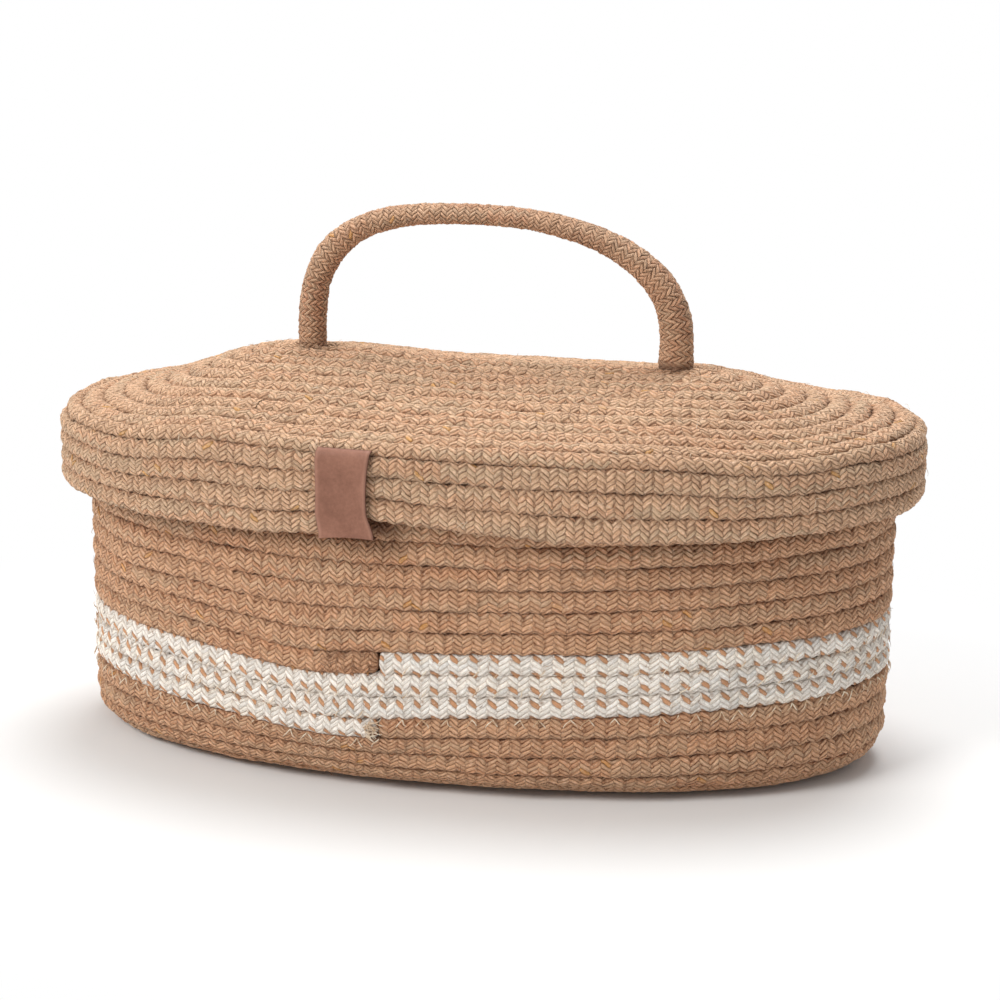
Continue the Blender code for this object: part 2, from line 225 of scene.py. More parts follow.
def wall_settling(angle, distance, height, x):
    """The rise or sag of the wall's rows: at the base, the band's two edges and the rim."""
    aside = front_degrees(angle)
    away = np.abs(aside)
    base = BASE_EDGE_LIFT * smooth(168, 125, away) * smooth(BASE_EDGE_START, BASE_EDGE_END, distance)
    low = (1.2 * smooth(125, 145, away) + 1.6 * smooth(95, 45, away) - 4.4 * hump(aside, -106, 14)) * MM
    high = (3.6 * smooth(112, 134, away) + 1.6 * smooth(104, 88, away)
            - 1.6 * hump(aside, -109, 7) - 3.4 * smooth(60, 5, away)) * MM
    settled = 0
    for i, value in ((0, base), (2, low), (3, high), (5, end_sag(x))):
        weights = [float(i == k) for k in range(len(SETTLED_HEIGHTS))]
        settled = settled + value * np.interp(height, SETTLED_HEIGHTS, weights)
    return settled


def basket_surface(angle, run):
    distance, height = basket_profile(run)
    x, y = row_plan(angle, distance, BASKET_HALF_LENGTH, BASKET_HALF_WIDTH, BASKET_OVAL_POWER)
    share = np.clip(height / RIM_HEIGHT, 0, 1)
    drift = np.sin(math.pi * share) ** DRIFT_POWER * (SIDE_DRIFT_SHARE * x + FRONT_DRIFT_SHARE * y)
    return np.stack((x, y, height + drift + wall_settling(angle, distance, height, x)), -1)


def crown_rise(share):
    return CROWN_RISE * (1 - np.clip(share, 0, 1) ** CROWN_POWER)


LID_FLAT = LID_HALF_WIDTH - SHOULDER_RADIUS
CROWN_RUN = math.hypot(LID_FLAT, CROWN_RISE)


def lid_profile(run):
    bend = np.clip((run - CROWN_RUN) / SHOULDER_RADIUS, 0, QUARTER)
    share = np.minimum(run / CROWN_RUN, 1)
    distance = share * LID_FLAT + SHOULDER_RADIUS * np.sin(bend)
    height = SHOULDER_HEIGHT + crown_rise(share) - SHOULDER_RADIUS * (1 - np.cos(bend))
    height -= np.maximum(0, run - CROWN_RUN - SHOULDER_RADIUS * QUARTER)
    return distance, height


def lid_run(height):
    return CROWN_RUN + SHOULDER_RADIUS * QUARTER + SHOULDER_HEIGHT - SHOULDER_RADIUS - height


def lid_settling(angle, distance, height, x):
    """The sag of the lid's ends and crown, and how its skirt's lower edge hangs."""
    aside = front_degrees(angle)
    top = SHOULDER_HEIGHT - SHOULDER_RADIUS
    skirt = np.clip((top - height) / (top - LID_EDGE_HEIGHT), 0, 1)
    ridge = np.interp(x, RIDGE_PLACES, RIDGE_RISES) * (1 - np.clip(distance / LID_FLAT, 0, 1) ** 2)
    edge = (1.3 - 4.7 * hump(aside, -73, 19) + 4.0 * smooth(60, 0, np.abs(aside))) * MM
    edge = edge + TAG_LIFT * hump(aside, math.degrees(TAG_ANGLE), 7.5)
    return ridge + end_sag(x) * (1 - skirt) + edge * skirt


def lid_surface(angle, run):
    distance, height = lid_profile(run)
    x, y = row_plan(angle, distance, LID_HALF_LENGTH, LID_HALF_WIDTH, LID_OVAL_POWER)
    return np.stack((x, y, height + lid_settling(angle, distance, height, x)), -1)


BAND_RUN = basket_run(BAND_FOOT_HEIGHT)
BASE_ROWS = int(BAND_RUN / WALL_PITCH - BASE_START_SHARE)
BASKET_START_RUN = BAND_RUN - BASE_ROWS * WALL_PITCH
BAND_END_ROW = BASE_ROWS + BAND_ROWS
RIM_TURNS = round(((basket_run(RIM_HEIGHT) - BASKET_START_RUN) / WALL_PITCH - 1) * STATIONS) / STATIONS
RIM_TOP = float(basket_profile(BASKET_START_RUN + WALL_PITCH * (RIM_TURNS + 1))[1])
SEAT_SHARE = (BASKET_HALF_WIDTH - ROPE_THICKNESS / 2) / LID_FLAT
SHOULDER_HEIGHT = RIM_TOP + CLEARANCE + ROPE_THICKNESS - float(crown_rise(SEAT_SHARE))
LID_EDGE_RUN = lid_run(LID_EDGE_HEIGHT)
LID_TURNS = int((LID_EDGE_RUN / LID_PITCH - 1 - LID_START_SHARE) * STATIONS) / STATIONS
LID_START_RUN = LID_EDGE_RUN - LID_PITCH * (LID_TURNS + 1)
LID_TOP = SHOULDER_HEIGHT + CROWN_RISE
PIVOT_HEIGHT = LID_TOP + CLEARANCE + FOOT_RADIUS


class Coil:
    """A rope wound in rows over a surface. Places are in turns, and shares across the row."""

    def __init__(self, surface, outward, way, start_angle, start_run, pitch):
        self.surface, self.outward, self.way = surface, outward, way
        self.start_angle, self.start_run, self.pitch = start_angle, start_run, pitch

    def place(self, turns, share, depth):
        angle = self.start_angle + self.way * TURN * turns
        run = self.start_run + self.pitch * (turns + share)
        return self.on_surface(angle, run, depth)

    def on_surface(self, angle, run, depth):
        point = self.surface(angle, run)
        along = self.surface(angle + SMALL_ANGLE, run) - self.surface(angle - SMALL_ANGLE, run)
        across = self.surface(angle, run + SMALL_RUN) - self.surface(angle, run - SMALL_RUN)
        normal = np.cross(along, across) * self.outward
        normal /= np.maximum(np.linalg.norm(normal, axis=-1, keepdims=True), 1e-12)
        turned = (np.asarray(run) < MIDDLE_RUN) & (normal[..., 2] * self.outward > 0)
        normal = np.where(turned[..., None], -normal, normal)
        return point - normal * np.asarray(depth)[..., None]

    def measured(self, first, last):
        """Turns and the metres wound from the first of them, in small steps."""
        turns = np.linspace(first, last, max(16, int((last - first) * 720)))
        middle = self.place(turns, 0.5, np.zeros_like(turns))
        steps = np.linalg.norm(np.diff(middle, axis=0), axis=1)
        return turns, np.concatenate(([0.0], np.cumsum(steps)))


BASKET_COIL = Coil(basket_surface, 1, -1, SPLICE_ANGLE, BASKET_START_RUN, WALL_PITCH)
LID_COIL = Coil(lid_surface, -1, 1, TAG_ANGLE - TURN * LID_TURNS, LID_START_RUN, LID_PITCH)


# Meshes

def new_piece(name, points, faces, material, smooth_faces=True):
    mesh = bpy.data.meshes.new(name)
    points = np.asarray(points, np.float32).reshape(-1, 3)
    faces = np.asarray(faces, np.int32)
    mesh.vertices.add(len(points))
    mesh.vertices.foreach_set("co", points.ravel())
    mesh.loops.add(faces.size)
    mesh.loops.foreach_set("vertex_index", faces.ravel())
    mesh.polygons.add(len(faces))
    mesh.polygons.foreach_set("loop_start", np.arange(0, faces.size, faces.shape[1], dtype=np.int32))
    mesh.polygons.foreach_set("use_smooth", np.full(len(faces), smooth_faces))
    mesh.update(calc_edges=True)
    mesh.materials.append(material)
    piece = bpy.data.objects.new(name, mesh)
    bpy.context.scene.collection.objects.link(piece)
    return piece


def add_uv(mesh, name, values):
    layer = mesh.uv_layers.new(name=name)
    layer.data.foreach_set("uv", np.ascontiguousarray(values, np.float32).ravel())


def grid_faces(rows, columns, start=0, closed=False):
    """Quads of a grid of points; closed joins the last column to the first."""
    r = np.arange(rows - 1)[:, None] * columns
    c = np.arange(columns if closed else columns - 1)[None, :]
    d = (c + 1) % columns
    return np.stack((r + c, r + d, r + columns + d, r + columns + c), -1).reshape(-1, 4) + start


# The braided rope

SWING = 0.55
LAP_REACH = 0.24


def interlaced(column, level):
    """The stroke on top at each place: its column, its line, its lap's end and if it laps over."""
    whole = np.floor(column)
    part = column - whole
    rising = 1 - 2 * (whole % 2)
    own = level - SWING * rising * (2 * part - 1)
    other = level + SWING * rising * (2 * part + 1)
    far = np.hypot(2 * (other - np.floor(other)) - 1, part / LAP_REACH)
    lapped = far < 1
    return whole - lapped, np.where(lapped, other, own), far, lapped


class Braid:
    """The look of a braided rope: the length of a zigzag, its strands' spacing and relief."""

    def __init__(self, seed, zigzag, strand, relief, pit=0.0, stretch=None, turning=None):
        self.seed, self.zigzag, self.strand = seed, zigzag, strand
        self.relief, self.pit, self.stretch, self.turning = relief, pit, stretch, turning

    def columns(self, s, angle):
        """How many half zigzags lie before each distance, where the rope is stretched unevenly."""
        length = self.zigzag * (1 + 0.05 * wander(s, 0.21, self.seed))
        if self.stretch is not None:
            length = length * self.stretch(angle)
        steps = np.diff(s, prepend=s[0] - (s[1] - s[0]))
        return np.cumsum(2 * steps / length)

    def relief_at(self, s, column, w, turns=0.0):
        """Height over the rope's smooth form, and each place's level, counted in strands."""
        if self.turning is None:
            twist = 0.25 * wander(s, 0.13, self.seed + 1) + 0.08 * wander(s, 0.019, self.seed + 2)
        else:
            first, rate = self.turning
            twist = first + rate * turns + 0.07 * wander(s, 0.13, self.seed + 1)
        level = w / self.strand + twist
        stroke, line, far, lapped = interlaced(column, level)
        across = 2 * (line - np.floor(line)) - 1
        full = 0.8 + 0.4 * scattered(stroke, np.floor(line), self.seed + 3)
        lift = 0.4 * (scattered(stroke, np.floor(line), self.seed + 4) - 0.5)
        under = full * (1 - np.abs(across) ** 2.2) - 0.2 * smooth(1.4, 1.0, far)
        height = np.where(lapped, full - np.minimum(far, 1) ** 2.2, under) - 0.6 + lift
        return self.relief * (height + 0.22 * grain_of(line.shape, self.seed)), level


def ring(power, first, last, crest, count):
    """Points of a flat rope's section: shares across, depths, arcs from the crest, normals."""
    turn = np.radians(np.linspace(first, last, 721))
    c, s = np.cos(turn), np.sin(turn)
    half_across, half_thick = 0.5, ROPE_THICKNESS / 2
    across = half_across * np.sign(c) * np.abs(c) ** (2 / power)
    up = half_thick * np.sign(s) * np.abs(s) ** (2 / power)
    flat = across * WALL_PITCH
    arc = np.concatenate(([0.0], np.cumsum(np.hypot(np.diff(flat), np.diff(up)))))
    arc -= np.interp(-math.radians(crest), -turn, arc)
    even = np.linspace(arc[0], arc[-1], count)
    flat_at, up_at = np.interp(even, arc, flat), np.interp(even, arc, up)
    normal = np.stack((np.gradient(up_at), -np.gradient(flat_at)), -1)
    normal /= np.linalg.norm(normal, axis=1, keepdims=True)
    facing = np.sign((normal * np.stack((flat_at, up_at), -1)).sum(1))
    normal *= np.where(facing == 0, 1, facing)[:, None]
    return flat_at / WALL_PITCH, up_at, even, normal


RING_POWER = 2.3
CROWN_RING_POWER = 2.1
OUTER = ring(RING_POWER, 218, -38, 90, OUTER_RING)
CROWN_OUTER = ring(CROWN_RING_POWER, 218, -38, 90, OUTER_RING)
INNER = ring(RING_POWER, 322, 210, 270, INNER_RING)
SINK = 0.4 * MM
SCALLOP = 0.04
PIT_LENGTH = 0.85 * MM
PIT_WIDTH = 0.75 * MM
PIT_SHARE = 0.31


def rope_sheet(coil, braid, first, last, step, section, options):
    """Points, strand values and marks of the outer or inner half of a stretch of rope."""
    turns_table, metres_table = coil.measured(first, last)
    length = metres_table[-1]
    count = max(8, int(length / step)) + 1
    s = np.linspace(0, length, count)
    turns = np.interp(s, metres_table, turns_table)
    angle = coil.start_angle + coil.way * TURN * turns
    column = braid.columns(s + options.get("offset", 0.0), angle)
    across, up, arc, normal = (a[None] for a in section)
    s2, turns2, column2 = s[:, None], turns[:, None], column[:, None]
    inner = options.get("inner", False)
    height, line = braid.relief_at(s2, column2, arc, turns2)
    fade = np.ones_like(arc)
    fade[0, 0] = fade[0, -1] = 0.0
    height = height * fade
    dark = np.zeros_like(height)
    if braid.pit and not inner:
        nearest = 2 * np.round(column2 / 2)
        aside = (column2 - nearest) * braid.zigzag / 2
        rng = np.random.default_rng(braid.seed + 7)
        strength = rng.uniform(0.15, 1.0, 20000)[nearest.astype(int) % 20000]
        upward = arc - options["pit_side"] * PIT_SHARE * coil.pitch
        pit = np.exp(-(aside / PIT_LENGTH) ** 2 - (upward / PIT_WIDTH) ** 2) * strength
        height = height - braid.pit * pit
        # The pit's weight is also its painted shade: the first mark darkens the rope there.
        dark = pit
    taper_first, taper_last = options.get("tapers", (2.5 * MM, 2.5 * MM))
    scale = np.ones_like(s)
    for distance, reach in ((s, taper_first), (length - s, taper_last)):
        if reach:
            t = np.clip(distance / reach, 0, 1)
            scale = scale * np.sqrt(np.maximum(0, 1 - (1 - t) ** 2))
    scale = scale[:, None]
    wide = 1.06 + 0.02 * wander(s2, 0.05, braid.seed + 3)
    low = 0.35 * MM * wander(s2, 0.045, braid.seed + 4) * options.get("unevenness", 1.0)
    share = 0.5 + scale * (across * wide + normal[..., 0] * height / coil.pitch)
    share = share + 0.03 * wander(s2, 0.06, braid.seed + 5) * options.get("unevenness", 1.0)
    scallop = SCALLOP * (0.6 + 0.8 * scattered(np.floor(column2 + 0.5), 0, braid.seed + 6))
    share = share - scallop * np.cos(math.pi * column2) * np.minimum(1, 2 * np.abs(across)) ** 1.5
    depth = ROPE_THICKNESS / 2 - scale * (up + normal[..., 1] * height) + low
    depth = depth + options.get("sink", SINK)
    if "squeeze" in options:
        share, depth = options["squeeze"](turns2, share, depth)
    # The hollow beside the tag is a dent, and besides it a painted shade in the third mark.
    hollow = options["hollow"](turns2, share) if "hollow" in options else 0 * height
    points = coil.place(turns2, share, depth + HOLLOW_DEPTH * hollow)
    # The marks: painted shade in the pits, painted shade towards the grooves between rows, and painted shade
    # in the hollow beside the tag.
    groove = smooth(0.30, 0.50, np.abs(across)) + np.zeros_like(height)
    marks = np.stack((dark + 0 * height, groove, 0.9 * hollow, np.ones_like(height)), -1)
    values = np.stack((np.broadcast_to(column2, height.shape), line), -1)
    return points, values, marks, length


def rope_piece(name, body, nodes, coil, braid, first, last, step, material, slot, **options):
    """A stretch of wound rope with its outer and its inner half."""
    parts = []
    inner_options = dict(options, inner=True)
    outer = options.get("outer", OUTER)
    parts.append(rope_sheet(coil, braid, first, last, step, outer, options))
    parts.append(rope_sheet(coil, braid, first, last, max(step, INNER_STEP), INNER, inner_options))
    points, faces, values, marks, maps = [], [], [], [], []
    start, top = 0, 0.0
    heights = (0.68, 0.32)
    for (p, v, m, length), height, columns in zip(parts, heights, (OUTER_RING, INNER_RING)):
        rows = len(p)
        quads = grid_faces(rows, columns, start)
        faces.append(quads)
        points.append(p.reshape(-1, 3))
        marks.append(m.reshape(-1, 4))
        values.append(v.reshape(-1, 2)[quads - start].reshape(-1, 2))
        maps.append(strip_rows(rows, columns, length, top, height))
        start += rows * columns
        top += height
    piece = new_piece(name, np.concatenate(points), np.concatenate(faces), material)
    mesh = piece.data
    add_uv(mesh, "OFBake", np.concatenate(maps))
    add_uv(mesh, "Strand", np.concatenate(values))
    layer = mesh.attributes.new("Marks", "FLOAT_COLOR", "POINT")
    layer.data.foreach_set("color", np.concatenate(marks).astype(np.float32).ravel())
    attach(piece, body)
    if nodes:
        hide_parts(*nodes)
    return piece


def strip_rows(rows, columns, length, top, height):
    """The strips' count that keeps a texel about as long as it is wide."""
    width = 0.016 if columns == OUTER_RING else 0.011
    strips = max(1, round(math.sqrt(length * height / width)))
    per_strip = math.ceil((rows - 1) / strips)
    i = np.arange(rows - 1)
    strip = i // per_strip
    margin = 0.002
    left = margin + (i - strip * per_strip) / per_strip * (1 - 2 * margin)
    right = left + (1 - 2 * margin) / per_strip
    edge = 0.06
    j = np.arange(columns - 1) / (columns - 1)

    def up(share):
        return top + height * (strip[:, None] + edge + share[None, :] * (1 - 2 * edge)) / strips

    low, high = up(j), up(j + 1 / (columns - 1))
    left = np.broadcast_to(left[:, None], low.shape)
    right = np.broadcast_to(right[:, None], low.shape)
    corners = [(left, low), (left, high), (right, high), (right, low)]
    return np.stack([np.stack(c, -1) for c in corners], -2).reshape(-1, 2)


# Materials

def shader_of(name, roughness, sheen=0.0, sheen_color=(1, 1, 1), specular=0.3):
    material = bpy.data.materials.new(name)
    material.use_nodes = True
    tree = material.node_tree
    shader = tree.nodes["Principled BSDF"]
    shader.inputs["Roughness"].default_value = roughness
    shader.inputs["Specular IOR Level"].default_value = specular
    shader.inputs["Sheen Weight"].default_value = sheen
    shader.inputs["Sheen Roughness"].default_value = 0.5
    shader.inputs["Sheen Tint"].default_value = (*sheen_color, 1)
    return material, tree, shader


class Nodes:
    """Short names for making a node tree."""

    def __init__(self, tree):
        self.tree = tree

    def add(self, kind, **settings):
        node = self.tree.nodes.new(kind)
        for key, value in settings.items():
            setattr(node, key, value)
        return node

    def put(self, socket, value):
        if isinstance(value, bpy.types.NodeSocket):
            self.tree.links.new(value, socket)
        else:
            socket.default_value = value

    def math(self, operation, a, b=0.0, c=0.0, clamp=False):
        node = self.add("ShaderNodeMath", operation=operation, use_clamp=clamp)
        for socket, value in zip(node.inputs, (a, b, c)):
            self.put(socket, value)
        return node.outputs[0]

    def rise(self, value, low, high, to_low=0.0, to_high=1.0):
        node = self.add("ShaderNodeMapRange", interpolation_type="SMOOTHSTEP")
        self.put(node.inputs["Value"], value)
        self.put(node.inputs["From Min"], low)
        self.put(node.inputs["From Max"], high)
        self.put(node.inputs["To Min"], to_low)
        self.put(node.inputs["To Max"], to_high)
        return node.outputs["Result"]

    def mix(self, share, a, b, blend="MIX"):
        node = self.add("ShaderNodeMix", data_type="RGBA", blend_type=blend)
        self.put(node.inputs[0], share)
        for socket, value in ((node.inputs[6], a), (node.inputs[7], b)):
            self.put(socket, value if isinstance(value, bpy.types.NodeSocket) else (*value, 1))
        return node.outputs[2]

    def vector(self, x, y, z=0.0):
        node = self.add("ShaderNodeCombineXYZ")
        for socket, value in zip(node.inputs, (x, y, z)):
            self.put(socket, value)
        return node.outputs[0]

    def noise(self, vector, scale, detail=2.0, roughness=0.5, distortion=0.0):
        node = self.add("ShaderNodeTexNoise")
        if vector is not None:
            self.put(node.inputs["Vector"], vector)
        for key, value in (("Scale", scale), ("Detail", detail), ("Roughness", roughness),
                           ("Distortion", distortion)):
            node.inputs[key].default_value = value
        return node.outputs["Fac"]

    def place(self):
        return self.add("ShaderNodeTexCoord").outputs["Object"]

    def total(self, first, *weighted):
        """The first value plus each (value, weight) pair's product."""
        result = first
        for value, weight in weighted:
            result = self.math("MULTIPLY_ADD", value, weight, result)
        return result

    def most(self, *values):
        result = values[0]
        for value in values[1:]:
            result = self.math("MAXIMUM", result, value)
        return result

    def times(self, *values):
        result = values[0]
        for value in values[1:]:
            result = self.math("MULTIPLY", result, value)
        return result

    def from_middle(self, value):
        """0 in the middle between two whole numbers, 1 at each of them."""
        doubled = self.math("MULTIPLY", self.math("FRACT", value), 2.0)
        return self.math("ABSOLUTE", self.math("SUBTRACT", doubled, 1.0))

    def chance(self, x, y, z):
        """Three values between 0 and 1 that are the same all over a whole step of x and y."""
        node = self.add("ShaderNodeTexWhiteNoise", noise_dimensions="3D")
        self.put(node.inputs[0], self.vector(self.math("FLOOR", x), self.math("FLOOR", y), z))
        return self.split(node.outputs["Color"])

    def split(self, color):
        node = self.add("ShaderNodeSeparateColor")
        self.put(node.inputs[0], color)
        return node.outputs[0], node.outputs[1], node.outputs[2]

    def split_vector(self, vector):
        node = self.add("ShaderNodeSeparateXYZ")
        self.put(node.inputs[0], vector)
        return node.outputs[0], node.outputs[1], node.outputs[2]


def strokes(n, column, level):
    """The stroke on top, as interlaced gives it: its column, its line, its lap and the lap's end."""
    whole, part = n.math("FLOOR", column), n.math("FRACT", column)
    rising = n.math("MULTIPLY_ADD", n.math("FLOORED_MODULO", whole, 2.0), -2.0, 1.0)
    swing = n.math("MULTIPLY", rising, SWING)
    own = n.math("SUBTRACT", level, n.times(swing, n.math("MULTIPLY_ADD", part, 2.0, -1.0)))
    other = n.math("MULTIPLY_ADD", swing, n.math("MULTIPLY_ADD", part, 2.0, 1.0), level)
    across = n.from_middle(other)
    end = n.math("DIVIDE", part, LAP_REACH)
    far = n.math("SQRT", n.total(n.times(across, across), (end, end)))
    lapped = n.math("LESS_THAN", far, 1.0)
    line = n.math("MULTIPLY_ADD", lapped, n.math("SUBTRACT", other, own), own)
    return n.math("SUBTRACT", whole, lapped), line, lapped, far


def band_flecks(n, column, stroke, line, fibres):
    """The tan flecks, their brown edges and their brown threads: every third strand shows one."""
    strand = n.math("FLOORED_MODULO", n.math("FLOOR", line), 3.0)
    chosen = n.math("COMPARE", strand, 1.0, 0.4)
    falling = n.math("LESS_THAN", n.math("FLOORED_MODULO", stroke, 2.0), 1.0)
    aside = n.math("ABSOLUTE", n.math("MULTIPLY_ADD", n.math("SUBTRACT", column, stroke), 2.0, -1.0))
    across = n.from_middle(line)
    reach = n.math("SQRT", n.total(n.times(aside, aside), (n.times(across, across), 0.8)))
    reach = n.total(reach, (n.math("SUBTRACT", fibres, 0.5), 1.4))
    here = n.times(chosen, falling)
    body = n.times(here, n.rise(reach, 1.34, 0.86))
    edge = n.times(here, n.rise(reach, 0.78, 1.06), n.rise(reach, 1.36, 1.12))
    beside = n.times(chosen, n.math("SUBTRACT", 1.0, falling), n.rise(across, 0.72, 0.95),
                     n.rise(fibres, 0.42, 0.58))
    return body, n.most(edge, n.times(beside, 0.55))


def rope_material(name, light, dark, warm, cool, pale, fleck=None, valley=0.85, sheen=0.25, even=1.0):
    """Braided yarn whose strands, plies and fibres follow the Strand map."""
    material, tree, shader = shader_of(name, 0.92, sheen, (1.0, 0.92, 0.84), 0.2)
    n = Nodes(tree)
    column, level, _ = n.split_vector(n.add("ShaderNodeUVMap", uv_map="Strand").outputs[0])
    # The Marks: painted shade in the pits, painted shade towards the grooves between rows, and a third painted
    # shade at the tag's hollow and at the handle's feet.
    pit, groove, foot = n.split(n.add("ShaderNodeAttribute", attribute_name="Marks").outputs["Color"])
    place = n.place()
    wobble = n.noise(n.vector(n.math("MULTIPLY", column, 1.1), n.math("MULTIPLY", level, 0.9)), 1.0, 2)
    level = n.total(level, (n.math("SUBTRACT", wobble, 0.5), 0.75 * even))
    number, line, lapped, far = strokes(n, column, level)
    line_edge = n.from_middle(line)
    line_edge = n.math("MULTIPLY_ADD", lapped, n.math("SUBTRACT", far, line_edge), line_edge)
    ply_edge = n.from_middle(n.total(n.math("MULTIPLY", line, 2.0), (wobble, 0.5)))
    bend = n.math("POWER", n.from_middle(column), 3.0)
    along = n.total(n.math("MULTIPLY", column, 1.3), (number, 3.7))
    fibres = n.noise(n.vector(along, n.math("MULTIPLY", line, 4.2)), 1.0, 2, 0.6)
    fine = n.noise(n.vector(n.math("MULTIPLY", along, 2.3), n.math("MULTIPLY", line, 11.0)), 1.0, 3, 0.7)
    blotch = n.noise(place, 130.0, 3, 0.6)
    lint = n.noise(place, 900.0, 3, 0.75)
    broad = n.noise(place, 20.0, 3, 0.6)
    stroke = n.chance(number, line, 0.5)
    ragged = n.total(line_edge, (n.math("SUBTRACT", fibres, 0.5), 0.5), (n.math("SUBTRACT", lint, 0.5), 0.45),
                     (n.math("SUBTRACT", stroke[0], 0.5), 0.22))
    # Painted shade in the gaps between strands, beside the ends of the strokes that lap over, and along the
    # lines between plies.
    gap = n.rise(ragged, n.math("MULTIPLY_ADD", bend, -0.12, 0.72), 1.02)
    gap = n.times(gap, n.math("MULTIPLY_ADD", bend, 0.15, 0.82))
    shadow = n.times(n.math("SUBTRACT", 1.0, lapped), n.rise(far, 1.22, 1.0))
    gap = n.most(gap, n.times(shadow, n.rise(lint, 0.35, 0.7, 0.0, 0.5)))
    plies = n.times(n.rise(ply_edge, 0.62, 1.0), n.rise(fibres, 0.36, 0.62, 0.2, 1.0))
    yarn = n.chance(n.math("MULTIPLY", number, 0.14), line, 0.8)
    tint = n.mix(n.rise(yarn[0], 0.35, 1.0, 0.0, 0.75), light, warm)
    tint = n.mix(n.rise(yarn[1], 0.45, 1.0, 0.0, 0.7), tint, cool)
    if fleck is None:
        ochre = tuple(a * b for a, b in zip(light, (0.98, 0.84, 0.50)))
        rare = n.math("GREATER_THAN", n.total(stroke[1], (fine, 0.02)), 1.003)
        tint = n.mix(rare, tint, ochre)
    # Painted highlight: the strands' crests are mixed towards the pale colour.
    crest = n.times(n.rise(line_edge, 0.62, 0.0), n.rise(lint, 0.38, 0.62))
    tint = n.mix(n.times(crest, 0.5), tint, pale)
    edge = None
    if fleck is not None:
        body, edge = band_flecks(n, column, number, line, fibres)
        tint = n.mix(body, tint, fleck)
    shade = n.total(-0.20, (fibres, 0.78), (fine, 0.58), (lint, 0.70), (broad, 0.18), (stroke[2], 0.24))
    shade = n.total(shade, (n.math("SUBTRACT", blotch, 0.5), 0.25))
    color = n.mix(1.0, tint, shade, "MULTIPLY")
    patchy = n.rise(blotch, 0.36, 0.62, 0.15, 1.0)
    # Painted shade in spots along the grooves and at the bends; then all the painted shade mixes the colour
    # towards the dark colour.
    spots = n.times(n.most(groove, n.times(bend, 0.8)), n.rise(n.noise(place, 330.0, 2), 0.48, 0.62))
    crevice_shade = n.most(n.times(gap, valley), n.times(plies, 0.42 * valley), n.times(pit, 0.95),
                  n.times(groove, patchy, 0.6 * valley), n.times(spots, 0.85 * valley), foot)
    color = n.mix(n.math("MINIMUM", crevice_shade, 1.0), color, dark)
    if edge is not None:
        color = n.mix(n.times(edge, 0.6), color, tuple(c * 0.35 for c in fleck))
    hair = n.math("ABSOLUTE", n.math("SUBTRACT", n.noise(place, 170.0, 1, 0.4, 1.5), 0.5))
    hair = n.times(n.rise(hair, 0.011, 0.003), n.rise(blotch, 0.44, 0.56))
    color = n.mix(n.times(hair, 0.6), color, pale)
    n.put(shader.inputs["Base Color"], color)
    height = n.math("SUBTRACT", 1.0, n.math("POWER", line_edge, 2.5))
    height = n.total(height, (shadow, -0.3), (n.math("POWER", ply_edge, 3.0), -0.25))
    height = n.total(height, (fibres, 0.8), (fine, 0.5),
                     (lint, 0.7), (hair, 0.3))
    bump = n.add("ShaderNodeBump")
    bump.inputs["Strength"].default_value = 0.85
    bump.inputs["Distance"].default_value = 0.5 * MM
    n.put(bump.inputs["Height"], height)
    n.put(shader.inputs["Normal"], bump.outputs[0])
    return material


def thread_material(name, light, dark):
    """Loose threads and fibres, lighter and darker from place to place."""
    material, tree, shader = shader_of(name, 0.8, 0.3, (1.0, 0.95, 0.9), 0.2)
    n = Nodes(tree)
    n.put(shader.inputs["Base Color"], n.mix(n.rise(n.noise(n.place(), 260.0, 3), 0.35, 0.65), dark, light))
    return material


# In each rope the second colour is the painted shade of its gaps, grooves and pits, and the fifth is the
# painted highlight of its crests and the colour of its loose hairs.
WALL_ROPE = rope_material("wall_rope", linear(208, 161, 125), linear(90, 42, 15),
                          linear(200, 145, 108), linear(198, 163, 131), linear(234, 200, 172),
                          valley=0.95, sheen=0.12)
LID_ROPE = rope_material("lid_rope", linear(213, 172, 138), linear(88, 48, 24),
                         linear(206, 157, 122), linear(204, 175, 144), linear(238, 207, 180),
                         valley=0.95, sheen=0.15)
HANDLE_ROPE = rope_material("handle_rope", linear(205, 162, 129), linear(64, 32, 15),
                            linear(196, 145, 113), linear(196, 164, 134), linear(226, 193, 166),
                            valley=1.0, even=0.8, sheen=0.15)
WHITE_ROPE = rope_material("white_rope", linear(248, 240, 230), linear(150, 118, 92),
                           linear(248, 237, 222), linear(230, 226, 220), linear(255, 251, 246),
                           fleck=linear(206, 154, 116), valley=0.6, sheen=0.08, even=0.6)
STITCH_THREAD = thread_material("stitch_thread", linear(236, 222, 200), linear(196, 160, 124))
BROWN_THREAD = thread_material("brown_thread", linear(168, 116, 80), linear(84, 52, 32))


# The basket and the lid

WALL_ZIGZAG = 8.0 * MM
WALL_STRAND = 2.35 * MM
ZIGZAG_PLACES = (-150, -120, -112, -104, -97, -90, -82, -72, -60, -48, -30)
ZIGZAG_SHARES = (1.0, 0.98, 0.82, 0.84, 0.92, 0.98, 1.07, 1.12, 1.06, 1.02, 1.0)
FLECK_FIRST = 0.798 - 1.277 * 12.92
FLECK_RATE = 1.277
HOLLOW_ANGLE = -99.4
HOLLOW_HEIGHT = 119.5 * MM
HOLLOW_DEPTH = 3.0 * MM


def wall_stretch(angle):
    """Zigzags are shorter left of the splice and longer to the right of the front's middle."""
    return np.interp(front_degrees(angle), ZIGZAG_PLACES, ZIGZAG_SHARES)


def tag_hollow(turns, share):
    """The dent beside the tag's lower end, where the lid's edge stands off the wall, and the weight of the
    painted shade put on the wall there.
    """
    height = BASKET_START_RUN + WALL_PITCH * (turns + share) - basket_run(0)
    aside = front_degrees(SPLICE_ANGLE - TURN * turns)
    return hump(aside, HOLLOW_ANGLE, 3.4) * hump(height, HOLLOW_HEIGHT, 5.5 * MM)


